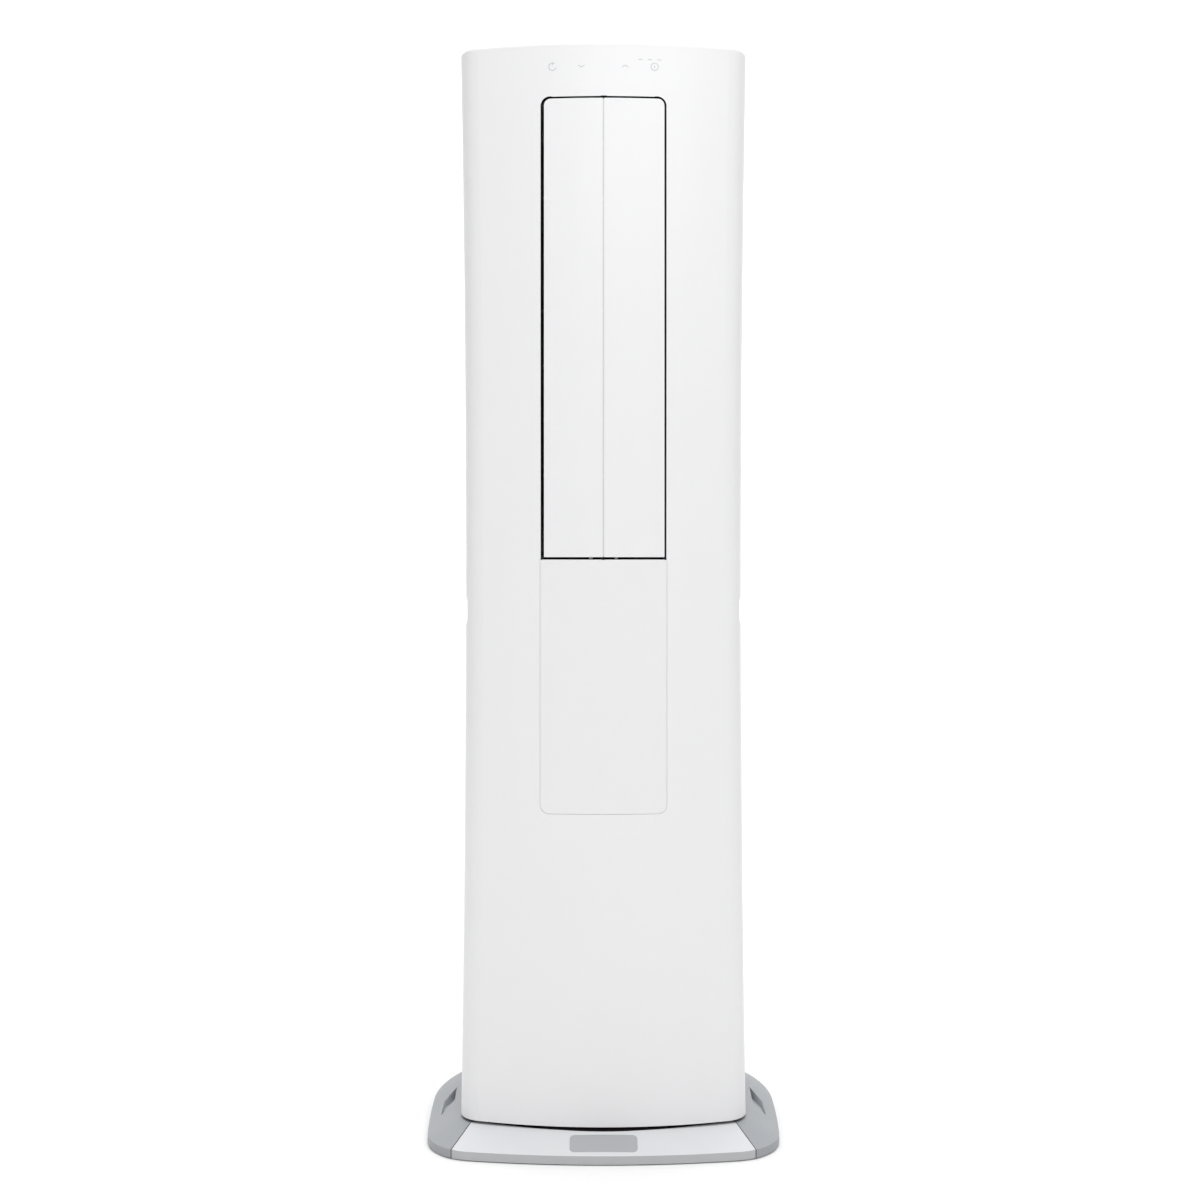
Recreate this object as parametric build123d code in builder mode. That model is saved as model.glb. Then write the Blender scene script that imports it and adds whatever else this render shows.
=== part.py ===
from build123d import *
import os
from math import atan2, cos, sin, sqrt

# Floor-standing tower air conditioner, in millimetres.
# +X is to the viewer's right, -Y out of the front, +Z up. The origin is on the floor, under the
# middle of the base.

# Cabinet: a waisted column with a bowed front
HEIGHT = 1760.0
CABINET_FOOT = 41.0
CABINET_FRONT = -170.0
CABINET_BACK = 165.0
WAIST_HALF_WIDTH = 224.0
FLARE = 8.0
WAIST_Z = 890.0
FLARE_REACH = 860.0
FRONT_RADIUS = 739.0
FRONT_CORNER = 42.0
BACK_CORNER = 28.0
SIDE_BOWS = (0.8, 1.5)
SHOULDER_Y = 35.0
SKIN = 3.0
LIP = 9.0
LIP_ROUND = 6.0
FRONT_SEAM_Y = -124.0
BACK_SEAM_Y = 137.0
SEAM = 0.5
FIT = 0.3

# Air outlet in the front, and the inlay below it
OUTLET_HALF_WIDTH = 99.3
OUTLET_FOOT = 939.6
OUTLET_TOP = 1673.6
OUTLET_CORNER = 14.0
INLAY_HALF_WIDTH = 101.0
INLAY_FOOT = 536.0
INLAY_CORNER = 15.0
INLAY_THICK = 1.5
INLAY_GAP = 0.6

# Front vanes
VANE_THICK = 2.4
VANE_FOOT = 943.5
VANE_TOP = 1670.6
VANE_LEFT = -94.5
VANE_RIGHT = 96.7
VANE_CORNER = 10.5
VANE_SEAM = 2.0
PIVOT_X = 20.0
PIVOT_Y = -158.0
PIVOT_RADIUS = 3.0
RUNNING = 0.05

# Duct and louvres behind the vanes
DUCT_WALL = 2.5
DUCT_BACK_Y = -32.0
LOUVRE_COUNT = 8
LOUVRE_Y = -58.0
LOUVRE_HALF_CHORD = 16.0
LOUVRE_HALF_SPAN = 96.5
LOUVRE_CROWN = 1.4
LOUVRE_PIN = 2.5
CRANK = 20.0
CRANK_PIN = 2.0
EAR_X = 84.3
EAR_THICK = 2.5
LINK_X = 87.3
LINK_THICK = 4.0
LINK_WIDTH = 9.0

# Cross-flow fan
FAN_Y = 28.0
FAN_RADIUS = 52.0
FAN_FOOT = 951.0
FAN_TOP = 1662.0
BLADES = 22
FAN_BAYS = 4
RING_THICK = 2.5

# Evaporator, filters and rear grille
COIL_HALF_WIDTH = 178.0
COIL_FRONT = 90.0
COIL_BACK = 114.0
COIL_FOOT = 962.0
COIL_TOP = 1660.0
FILTER_Y = 126.0
FILTER_FOOT = 952.0
FILTER_TOP = 1648.0
FILTER_THICK = 5.0
CAP_THICK = 10.0
CAP_OVERHANG = 3.5
GRILLE_SLOT = (104.0, 9.0)
GRILLE_PITCH = (122.0, 21.5)

# Sheet metal frame
PLATE = 2.0
LOWER_PLATE_TOP = OUTLET_FOOT - DUCT_WALL
UPPER_PLATE_FOOT = OUTLET_TOP + DUCT_WALL
UPRIGHT_X = 216.0
UPRIGHT_DEPTH = 60.0
UPRIGHT_FLANGE = 16.0
UPRIGHT_SLOT = (40.0, 14.0)
UPRIGHT_SLOT_PITCH = 180.0
DECK_TOP = 46.0
PEDESTAL_INSET = 14.0

# Base
BASE_HALF_WIDTH = 289.0
BASE_HALF_DEPTH = 220.0
BASE_SHOULDER_Y = 35.0
BASE_SIDE_BOWS = (11.6, 55.0)
BASE_RADII = (1300.0, 1400.0)
BASE_CORNERS = (85.0, 60.0)
RIM_FOOT = 1.5
RIM_TOP = 15.0
CREST = 36.0
SKIRT_WALL = 3.0
SEAM_INNER = (177.0, -60.0)
SEAM_OUTER = (269.0, -260.0)
PAD_SIZE = (106.0, 36.0)
PAD_CORNER = 8.0
PAD_THICK = 1.6
FLOOR_HOLE = (259.5, -9.0)
FLOOR_HOLE_RADIUS = 4.5
FLOOR_POCKET = ((249.0, -18.0), (268.0, -65.0), (269.0, -5.0), (252.0, 50.0))
REAR_SEAM_INNER = (170.0, 70.0)
REAR_SEAM_OUTER = (260.0, 260.0)
BASE_CLEAR_X = 330.0
FOOT_SPACING = (420.0, 300.0)
FOOT_RADIUS = 15.0

# Side grips
GRIP_SPAN_Y = (-121.0, -25.0)
GRIP_SPAN_Z = (836.0, 879.0)
GRIP_FLOOR_X = 204.0
GRIP_CORNER = 9.0
SIDE_JOINT_Z = 939.6

# Pipe outlet and cord gland in the rear panel
PIPE_OUTLET = (120.0, 140.0)
PIPE_BORE = 32.5
PIPE_HOLE = 36.0
PIPE_COLLAR = 41.5
GLAND = (-120.0, 120.0)
GLAND_BORE = 4.5
GLAND_SHANK = 10.0
GLAND_NUT = 15.0
GLAND_CAP = 11.0
GLAND_STEP = 5.0
SCREW_RADIUS = 1.9
SCREW_LENGTH = 12.0
SCREW_HEAD = 4.0
SCREW_HEAD_HEIGHT = 2.2

louvre_pitch = (OUTLET_TOP - OUTLET_FOOT) / LOUVRE_COUNT
louvre_levels = [OUTLET_FOOT + louvre_pitch * (i + 0.5) for i in range(LOUVRE_COUNT)]


def arc_drop(radius, half_chord):
    """How far an arc of this radius falls back from its crown at half_chord from the middle"""
    return radius - sqrt(radius**2 - half_chord**2)


def bowed_plan(z, ends, side, shoulder, bows, radii, corners):
    """Plan outline at height z: bowed front and sides, rounded corners, mirrored about the YZ plane.

    ends, bows, radii and corners each hold the front value and the back value. A back radius of
    None is a flat back.
    """
    fore = (side - bows[0], ends[0] + arc_drop(radii[0], side - bows[0]))
    aft = (side - bows[1], ends[1])
    if radii[1]:
        aft = (side - bows[1], ends[1] - arc_drop(radii[1], side - bows[1]))
    with BuildSketch(Plane.XY.offset(z)) as plan:
        with BuildLine():
            ThreePointArc((-fore[0], fore[1]), (0, ends[0]), fore)
            if radii[1]:
                ThreePointArc((-aft[0], aft[1]), (0, ends[1]), aft)
            else:
                Line((-aft[0], aft[1]), aft)
            for hand in (-1, 1):
                TangentArc((hand * side, shoulder), (hand * fore[0], fore[1]), tangent=(0, -1))
                TangentArc((hand * side, shoulder), (hand * aft[0], aft[1]), tangent=(0, 1))
        make_face()
        fillet(plan.vertices().group_by(Axis.Y)[0], radius=corners[0])
        fillet(plan.vertices().group_by(Axis.Y)[-1], radius=corners[1])
    return plan.sketch


def cabinet_plan(z, inset=0.0):
    """Plan of the cabinet at height z, drawn in from its outer skin by inset"""
    side = WAIST_HALF_WIDTH + FLARE * ((z - WAIST_Z) / FLARE_REACH) ** 2 - inset
    ends = (CABINET_FRONT + inset, CABINET_BACK - inset)
    corners = (FRONT_CORNER - inset, BACK_CORNER - inset)
    return bowed_plan(z, ends, side, SHOULDER_Y, SIDE_BOWS, (FRONT_RADIUS - inset, None), corners)


def base_plan(z, inset=0.0):
    """Plan of the base at height z, drawn in from its rim by inset"""
    ends = (inset - BASE_HALF_DEPTH, BASE_HALF_DEPTH - inset)
    radii = (BASE_RADII[0] - inset, BASE_RADII[1] - inset)
    corners = (BASE_CORNERS[0] - inset, BASE_CORNERS[1] - inset)
    side = BASE_HALF_WIDTH - inset
    return bowed_plan(z, ends, side, BASE_SHOULDER_Y, BASE_SIDE_BOWS, radii, corners)


def cabinet_block(inset):
    """Solid of the waisted column between its foot and its top cover"""
    with BuildPart() as block:
        loft([cabinet_plan(z, inset) for z in (CABINET_FOOT, WAIST_Z, HEIGHT - LIP)])
    return block.part


def front_window(plane_y, half_left, half_right, foot, top, foot_round, top_round):
    """Window in the XZ plane at plane_y, with its own corner radius at the foot and at the top"""
    with BuildSketch(Plane.XZ.offset(-plane_y)) as window:
        with Locations(((half_left + half_right) / 2, (foot + top) / 2)):
            Rectangle(half_right - half_left, top - foot)
        if foot_round:
            fillet(window.vertices().group_by(Axis.Y)[0], radius=foot_round)
        if top_round:
            fillet(window.vertices().group_by(Axis.Y)[-1], radius=top_round)
    return window.sketch


def front_patch(outer, thickness, window):
    """Piece of the curved front skin, this thick, within a window drawn behind it"""
    with BuildPart() as patch:
        add(outer)
        add(cabinet_block(thickness), mode=Mode.SUBTRACT)
        extrude(window, amount=BASE_HALF_DEPTH, mode=Mode.INTERSECT)
    return patch.part


def finish(piece, name):
    """Label a finished piece and write its STEP file"""
    piece.label = name
    export_step(piece, f"parts/{name}.step")


os.makedirs("parts", exist_ok=True)

outer_block = cabinet_block(0.0)
inner_block = cabinet_block(SKIN)
outlet_window = front_window(
    -100.0, -OUTLET_HALF_WIDTH, OUTLET_HALF_WIDTH, OUTLET_FOOT, OUTLET_TOP, 0, OUTLET_CORNER
)

# Base: steel plate with a raised pedestal, on rubber feet
SHEET_FOOT = 2.5
SHEET_TOP = 5.0
with BuildPart() as base_plate:
    extrude(base_plan(SHEET_FOOT, 4.0), amount=SHEET_TOP - SHEET_FOOT)
    extrude(cabinet_plan(CABINET_FOOT, PEDESTAL_INSET).moved(Location((0, 0, SHEET_TOP - CABINET_FOOT))),
            amount=DECK_TOP - SHEET_TOP)
    extrude(cabinet_plan(CABINET_FOOT, PEDESTAL_INSET + SKIN).moved(Location((0, 0, -CABINET_FOOT))),
            amount=DECK_TOP - SKIN, mode=Mode.SUBTRACT)
    with BuildSketch(Plane.XY):
        with Locations(FLOOR_HOLE, (-FLOOR_HOLE[0], FLOOR_HOLE[1])):
            Circle(FLOOR_HOLE_RADIUS)
    extrude(amount=DECK_TOP, mode=Mode.SUBTRACT)
finish(base_plate.part, "base_plate")

with BuildPart() as base_feet:
    with BuildSketch(Plane.XY):
        with GridLocations(*FOOT_SPACING, 2, 2):
            Circle(FOOT_RADIUS)
    extrude(amount=SHEET_FOOT)
    chamfer(base_feet.edges().group_by(Axis.Z)[0], length=0.8)
finish(base_feet.part, "base_feet")

# Base skirt: one hollow sloping cover, cut into four pieces along its corner seams
with BuildPart() as base_cover:
    extrude(base_plan(RIM_FOOT), amount=RIM_TOP - RIM_FOOT)
    loft([base_plan(RIM_TOP), cabinet_plan(CREST, -1.0)], ruled=True)
    extrude(base_plan(0.0, SKIRT_WALL), amount=RIM_TOP - SKIRT_WALL, mode=Mode.SUBTRACT)
    loft([base_plan(RIM_TOP - SKIRT_WALL, SKIRT_WALL), cabinet_plan(CREST - SKIRT_WALL, SKIRT_WALL - 1.0)],
         ruled=True, mode=Mode.SUBTRACT)
    extrude(cabinet_plan(CABINET_FOOT, PEDESTAL_INSET).moved(Location((0, 0, -CABINET_FOOT))),
            amount=CABINET_FOOT, mode=Mode.SUBTRACT)

# Front pad: a flush grey insert on the slope of the front skirt
crest_front = CABINET_FRONT - 1.0
slope = atan2(CREST - RIM_TOP, crest_front + BASE_HALF_DEPTH)
pad_plane = Plane(
    origin=(0, (crest_front - BASE_HALF_DEPTH) / 2, (CREST + RIM_TOP) / 2),
    x_dir=(1, 0, 0),
    z_dir=(0, -sin(slope), cos(slope)),
)
with BuildPart() as base_front_pad:
    with BuildSketch(pad_plane.offset(-PAD_THICK)):
        RectangleRounded(*PAD_SIZE, PAD_CORNER)
    extrude(amount=PAD_THICK)
    chamfer(base_front_pad.faces().sort_by(Axis.Z)[-1].edges(), length=0.4)
finish(base_front_pad.part, "base_front_pad")

with BuildPart() as base_front_skirt:
    add(base_cover.part)
    with BuildSketch(Plane.XY):
        Polygon((-SEAM_INNER[0], SEAM_INNER[1]), SEAM_INNER, SEAM_OUTER, (-SEAM_OUTER[0], SEAM_OUTER[1]),
                align=None)
    extrude(amount=CREST, mode=Mode.INTERSECT)
    with BuildSketch(pad_plane.offset(-PAD_THICK)):
        RectangleRounded(PAD_SIZE[0] + FIT, PAD_SIZE[1] + FIT, PAD_CORNER)
    extrude(amount=3 * PAD_THICK, mode=Mode.SUBTRACT)
finish(base_front_skirt.part, "base_front_skirt")

with BuildPart() as base_rear_skirt:
    add(base_cover.part)
    with BuildSketch(Plane.XY):
        Polygon((-REAR_SEAM_INNER[0], REAR_SEAM_INNER[1]), REAR_SEAM_INNER, REAR_SEAM_OUTER,
                (-REAR_SEAM_OUTER[0], REAR_SEAM_OUTER[1]), align=None)
    extrude(amount=CREST, mode=Mode.INTERSECT)
finish(base_rear_skirt.part, "base_rear_skirt")

# Side skirts, each with a slanted pocket over its floor fixing hole
with BuildPart() as base_right_skirt:
    add(base_cover.part)
    with BuildSketch(Plane.XY):
        Polygon((SEAM_INNER[0] + SEAM, SEAM_INNER[1]), (SEAM_OUTER[0] + SEAM, SEAM_OUTER[1]),
                (BASE_CLEAR_X, SEAM_OUTER[1]), (BASE_CLEAR_X, REAR_SEAM_OUTER[1]),
                (REAR_SEAM_OUTER[0] + SEAM, REAR_SEAM_OUTER[1]),
                (REAR_SEAM_INNER[0] + SEAM, REAR_SEAM_INNER[1]), align=None)
    extrude(amount=CREST, mode=Mode.INTERSECT)
    with BuildSketch(Plane.XY):
        Polygon(*FLOOR_POCKET, align=None)
    extrude(amount=CREST, mode=Mode.SUBTRACT)
finish(base_right_skirt.part, "base_right_skirt")

with BuildPart() as base_left_skirt:
    mirror(base_right_skirt.part, about=Plane.YZ)
finish(base_left_skirt.part, "base_left_skirt")

# Frame: two channel uprights and two end plates that close the air path
with BuildPart() as right_upright:
    with BuildSketch(Plane.XY.offset(DECK_TOP)):
        with Locations((UPRIGHT_X - UPRIGHT_FLANGE / 2, UPRIGHT_DEPTH / 2)):
            Rectangle(UPRIGHT_FLANGE, UPRIGHT_DEPTH)
        with Locations((UPRIGHT_X - UPRIGHT_FLANGE / 2 - PLATE, UPRIGHT_DEPTH / 2)):
            Rectangle(UPRIGHT_FLANGE, UPRIGHT_DEPTH - 2 * PLATE, mode=Mode.SUBTRACT)
    extrude(amount=UPPER_PLATE_FOOT - DECK_TOP)
    with BuildSketch(Plane.YZ.offset(UPRIGHT_X - PLATE)):
        with Locations((UPRIGHT_DEPTH / 2, (DECK_TOP + UPPER_PLATE_FOOT) / 2)):
            with GridLocations(0, UPRIGHT_SLOT_PITCH, 1, 8):
                SlotOverall(*UPRIGHT_SLOT, rotation=90)
    extrude(amount=PLATE, mode=Mode.SUBTRACT)
finish(right_upright.part, "right_upright")

with BuildPart() as left_upright:
    mirror(right_upright.part, about=Plane.YZ)
finish(left_upright.part, "left_upright")

GAS_LEG = (206.0, 97.0)
LIQUID_LEG = (196.0, 112.0)
SPOUT = (-150.0, 103.0)
SPOUT_RADIUS = 8.0
BUSH_RADIUS = 5.0
MOTOR_NOSE_HOLE = 12.0
BEARING_HOLE = 10.0
GAS_HOLE = 9.5
LIQUID_HOLE = 6.5
pivots = [(-PIVOT_X, PIVOT_Y), (PIVOT_X, PIVOT_Y)]

with BuildPart() as lower_end_plate:
    extrude(cabinet_plan(LOWER_PLATE_TOP - PLATE, SKIN + FIT), amount=PLATE)
    with BuildSketch(Plane.XY.offset(LOWER_PLATE_TOP)):
        for hand in (-1, 1):
            with Locations((hand * (UPRIGHT_X - UPRIGHT_FLANGE / 2), UPRIGHT_DEPTH / 2)):
                Rectangle(UPRIGHT_FLANGE + FIT, UPRIGHT_DEPTH + FIT)
        with Locations(*pivots):
            Circle(BUSH_RADIUS)
        with Locations((0, FAN_Y)):
            Circle(MOTOR_NOSE_HOLE)
        with Locations(GAS_LEG):
            Circle(GAS_HOLE)
        with Locations(LIQUID_LEG):
            Circle(LIQUID_HOLE)
        with Locations(SPOUT):
            Circle(SPOUT_RADIUS)
    extrude(amount=-PLATE, mode=Mode.SUBTRACT)
finish(lower_end_plate.part, "lower_end_plate")

with BuildPart() as upper_end_plate:
    extrude(cabinet_plan(UPPER_PLATE_FOOT, SKIN + FIT), amount=PLATE)
    with BuildSketch(Plane.XY.offset(UPPER_PLATE_FOOT)):
        with Locations(*pivots):
            Circle(BUSH_RADIUS)
        with Locations((0, FAN_Y)):
            Circle(BEARING_HOLE)
    extrude(amount=PLATE, mode=Mode.SUBTRACT)
finish(upper_end_plate.part, "upper_end_plate")

# Front panel: bowed skin with the air outlet, a rebate for the inlay, ribs and display bosses
inlay_window = front_window(
    -100.0, -INLAY_HALF_WIDTH, INLAY_HALF_WIDTH, INLAY_FOOT, OUTLET_FOOT + 1.0, INLAY_CORNER, 0
)
inlay_rebate = front_patch(outer_block, INLAY_THICK, inlay_window)
RIB_DEPTH = 8.0
RIB_WIDTH = 2.0
RIB_MIDDLE = (0.0, 500.0)
RIB_PITCH = (120.0, 205.0)
RIB_REACH = (400.0, 820.0)
DISPLAY_Z = 1722.0
DISPLAY_BOSS_PITCH = (176.0, 30.0)
DISPLAY_BOSS = (3.0, 5.5)
with BuildPart() as rib_band:
    add(cabinet_block(SKIN - 0.5))
    add(cabinet_block(SKIN + RIB_DEPTH), mode=Mode.SUBTRACT)

with BuildPart() as front_ribs:
    with BuildSketch(Plane.XZ.offset(-FRONT_SEAM_Y)):
        with Locations(RIB_MIDDLE):
            with GridLocations(RIB_PITCH[0], 0, 4, 1):
                Rectangle(RIB_WIDTH, RIB_REACH[1])
            with GridLocations(0, RIB_PITCH[1], 1, 5):
                Rectangle(RIB_REACH[0], RIB_WIDTH)
    extrude(amount=BASE_HALF_DEPTH)
    add(rib_band.part, mode=Mode.INTERSECT)

with BuildPart() as front_panel:
    add(outer_block)
    add(inner_block, mode=Mode.SUBTRACT)
    split(bisect_by=Plane.XZ.offset(-FRONT_SEAM_Y), keep=Keep.TOP)
    add(front_ribs.part)
    add(inlay_rebate, mode=Mode.SUBTRACT)
    extrude(outlet_window, amount=BASE_HALF_DEPTH, mode=Mode.SUBTRACT)
    with BuildSketch(Plane.XZ.offset(-PIVOT_Y)):
        with Locations((0, DISPLAY_Z)):
            with GridLocations(*DISPLAY_BOSS_PITCH, 2, 2):
                Circle(DISPLAY_BOSS[0])
    extrude(amount=DISPLAY_BOSS[1])
finish(front_panel.part, "front_panel")

seated_inlay = front_window(
    -100.0, INLAY_GAP - INLAY_HALF_WIDTH, INLAY_HALF_WIDTH - INLAY_GAP, INLAY_FOOT + INLAY_GAP,
    OUTLET_FOOT, INLAY_CORNER - INLAY_GAP, 0
)
lower_inlay = front_patch(outer_block, INLAY_THICK, seated_inlay)
finish(lower_inlay, "lower_inlay")

# Side panels, each in a lower half with the grip pocket and an upper half with the filter slot
grip_centre = (sum(GRIP_SPAN_Y) / 2, sum(GRIP_SPAN_Z) / 2)
grip_size = (GRIP_SPAN_Y[1] - GRIP_SPAN_Y[0], GRIP_SPAN_Z[1] - GRIP_SPAN_Z[0])
slot_centre = (FILTER_Y, (FILTER_FOOT + FILTER_TOP) / 2)
slot_size = (CAP_THICK + 2 * SEAM, FILTER_TOP - FILTER_FOOT + 2 * CAP_OVERHANG + 2 * SEAM)
with BuildPart() as right_side_wall:
    add(outer_block)
    add(inner_block, mode=Mode.SUBTRACT)
    split(bisect_by=Plane.XZ.offset(-FRONT_SEAM_Y - SEAM), keep=Keep.BOTTOM)
    split(bisect_by=Plane.XZ.offset(-BACK_SEAM_Y), keep=Keep.TOP)
    split(bisect_by=Plane.YZ, keep=Keep.TOP)

with BuildPart() as right_lower_side_panel:
    add(right_side_wall.part)
    split(bisect_by=Plane.XY.offset(SIDE_JOINT_Z), keep=Keep.BOTTOM)
    with BuildSketch(Plane.YZ):
        with Locations(grip_centre):
            RectangleRounded(*grip_size, GRIP_CORNER)
    extrude(amount=BASE_HALF_WIDTH, mode=Mode.SUBTRACT)
finish(right_lower_side_panel.part, "right_lower_side_panel")

with BuildPart() as right_upper_side_panel:
    add(right_side_wall.part)
    split(bisect_by=Plane.XY.offset(SIDE_JOINT_Z + FIT), keep=Keep.TOP)
    with BuildSketch(Plane.YZ):
        with Locations(slot_centre):
            Rectangle(*slot_size)
    extrude(amount=BASE_HALF_WIDTH, mode=Mode.SUBTRACT)
finish(right_upper_side_panel.part, "right_upper_side_panel")

with BuildPart() as left_lower_side_panel:
    mirror(right_lower_side_panel.part, about=Plane.YZ)
finish(left_lower_side_panel.part, "left_lower_side_panel")

with BuildPart() as left_upper_side_panel:
    mirror(right_upper_side_panel.part, about=Plane.YZ)
finish(left_upper_side_panel.part, "left_upper_side_panel")

# Grip cups: moulded trays behind the pockets
CUP_WALL = 2.0
CUP_REACH = 40.0
CUP_GAP = 0.05
with BuildPart() as right_grip_cup:
    with BuildSketch(Plane.YZ.offset(GRIP_FLOOR_X - CUP_WALL)):
        with Locations(grip_centre):
            RectangleRounded(grip_size[0] + 2 * CUP_WALL, grip_size[1] + 2 * CUP_WALL, GRIP_CORNER + CUP_WALL)
    extrude(amount=CUP_REACH)
    with BuildSketch(Plane.YZ.offset(GRIP_FLOOR_X)):
        with Locations(grip_centre):
            RectangleRounded(*grip_size, GRIP_CORNER)
    extrude(amount=CUP_REACH, mode=Mode.SUBTRACT)
    add(cabinet_block(SKIN + CUP_GAP), mode=Mode.INTERSECT)
finish(right_grip_cup.part, "right_grip_cup")

with BuildPart() as left_grip_cup:
    mirror(right_grip_cup.part, about=Plane.YZ)
finish(left_grip_cup.part, "left_grip_cup")

# Rear panel with the intake grille, the pipe outlet, the gland hole and screw holes
COIL_MID_Z = (COIL_FOOT + COIL_TOP) / 2
screw_places = [(x, z) for x in (-188.0, 188.0) for z in (80.0, 480.0, 900.0, 1720.0)]
with BuildPart() as rear_panel:
    add(outer_block)
    add(inner_block, mode=Mode.SUBTRACT)
    split(bisect_by=Plane.XZ.offset(-BACK_SEAM_Y - SEAM), keep=Keep.BOTTOM)
    with BuildSketch(Plane.XZ.offset(-CABINET_BACK)):
        with Locations((0, COIL_MID_Z)):
            with GridLocations(*GRILLE_PITCH, 3, 32):
                Rectangle(*GRILLE_SLOT)
        with Locations(PIPE_OUTLET):
            Circle(PIPE_HOLE)
        with Locations(GLAND):
            Circle(GLAND_SHANK)
        with Locations(*screw_places):
            Circle(SCREW_RADIUS)
    extrude(amount=2 * SKIN, mode=Mode.SUBTRACT)
finish(rear_panel.part, "rear_panel")

with BuildPart() as pipe_outlet_ring:
    with BuildSketch(Plane.XZ.offset(-CABINET_BACK)):
        with Locations(PIPE_OUTLET):
            Circle(PIPE_HOLE)
    extrude(amount=2 * SKIN)
    with BuildSketch(Plane.XZ.offset(-CABINET_BACK)):
        with Locations(PIPE_OUTLET):
            Circle(PIPE_COLLAR)
    extrude(amount=-SKIN)
    fillet(pipe_outlet_ring.edges().group_by(Axis.Y)[-1], radius=1.5)
    with BuildSketch(Plane.XZ.offset(-CABINET_BACK)):
        with Locations(PIPE_OUTLET):
            Circle(PIPE_BORE)
    extrude(amount=3 * SKIN, both=True, mode=Mode.SUBTRACT)
finish(pipe_outlet_ring.part, "pipe_outlet_ring")

with BuildPart() as cable_gland:
    with BuildSketch(Plane.XZ.offset(-CABINET_BACK)):
        with Locations(GLAND):
            Circle(GLAND_SHANK)
    extrude(amount=2 * SKIN)
    with BuildSketch(Plane.XZ.offset(-CABINET_BACK)):
        with Locations(GLAND):
            RegularPolygon(GLAND_NUT, 6)
    extrude(amount=-GLAND_STEP)
    with BuildSketch(Plane.XZ.offset(-CABINET_BACK - GLAND_STEP)):
        with Locations(GLAND):
            Circle(GLAND_CAP)
    extrude(amount=-GLAND_STEP, taper=12)
    with BuildSketch(Plane.XZ.offset(-CABINET_BACK)):
        with Locations(GLAND):
            Circle(GLAND_BORE)
    extrude(amount=4 * SKIN, both=True, mode=Mode.SUBTRACT)
finish(cable_gland.part, "cable_gland")

with BuildPart() as cabinet_screws:
    with BuildSketch(Plane.XZ.offset(-CABINET_BACK)):
        with Locations(*screw_places):
            Circle(SCREW_RADIUS)
    extrude(amount=SCREW_LENGTH)
    with BuildSketch(Plane.XZ.offset(-CABINET_BACK)):
        with Locations(*screw_places):
            Circle(SCREW_HEAD)
    extrude(amount=-SCREW_HEAD_HEIGHT)
    chamfer(cabinet_screws.edges().group_by(Axis.Y)[-1], length=0.7)
finish(cabinet_screws.part, "cabinet_screws")

# Wall bracket: a folded strap from the rear panel back to the wall
BRACKET_Z = 1700.0
BRACKET_WIDTH = 90.0
BRACKET_DROP = 26.0
BRACKET_RISE = 28.0
WALL_HOLE_Z = 1715.0
WALL_HOLE_PITCH = 60.0
WALL_HOLE_RADIUS = 3.5
BRACKET_WINDOW = (50.0, 24.0)
BRACKET_WINDOW_CORNER = 6.0
with BuildPart() as wall_bracket:
    with BuildSketch(Plane.YZ.offset(-BRACKET_WIDTH / 2)):
        with BuildLine():
            Polyline((CABINET_BACK, BRACKET_Z - BRACKET_DROP),
                     (CABINET_BACK + PLATE, BRACKET_Z - BRACKET_DROP),
                     (CABINET_BACK + PLATE, BRACKET_Z - PLATE), (BASE_HALF_DEPTH, BRACKET_Z - PLATE),
                     (BASE_HALF_DEPTH, BRACKET_Z + BRACKET_RISE),
                     (BASE_HALF_DEPTH - PLATE, BRACKET_Z + BRACKET_RISE),
                     (BASE_HALF_DEPTH - PLATE, BRACKET_Z), (CABINET_BACK, BRACKET_Z), close=True)
        make_face()
    extrude(amount=BRACKET_WIDTH)
    with BuildSketch(Plane.XZ.offset(-BASE_HALF_DEPTH)):
        with Locations((0, WALL_HOLE_Z)):
            with GridLocations(WALL_HOLE_PITCH, 0, 2, 1):
                Circle(WALL_HOLE_RADIUS)
    extrude(amount=2 * PLATE, mode=Mode.SUBTRACT)
    with BuildSketch(Plane.XY.offset(BRACKET_Z)):
        with Locations((0, (CABINET_BACK + BASE_HALF_DEPTH) / 2)):
            RectangleRounded(*BRACKET_WINDOW, BRACKET_WINDOW_CORNER)
    extrude(amount=-2 * PLATE, mode=Mode.SUBTRACT)
finish(wall_bracket.part, "wall_bracket")

# Top cover: shallow rounded lid with a locating rim inside the panels
COVER_FOOT = HEIGHT - LIP
COVER_RIM = 10.0
with BuildPart() as top_cover:
    extrude(cabinet_plan(COVER_FOOT), amount=LIP)
    fillet(top_cover.edges().group_by(Axis.Z)[-1], radius=LIP_ROUND)
    extrude(cabinet_plan(COVER_FOOT, SKIN + FIT), amount=-COVER_RIM)
    extrude(cabinet_plan(COVER_FOOT, 2 * SKIN), amount=-COVER_RIM, mode=Mode.SUBTRACT)
    extrude(cabinet_plan(COVER_FOOT, 2 * SKIN), amount=LIP - SKIN, mode=Mode.SUBTRACT)
finish(top_cover.part, "top_cover")

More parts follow.
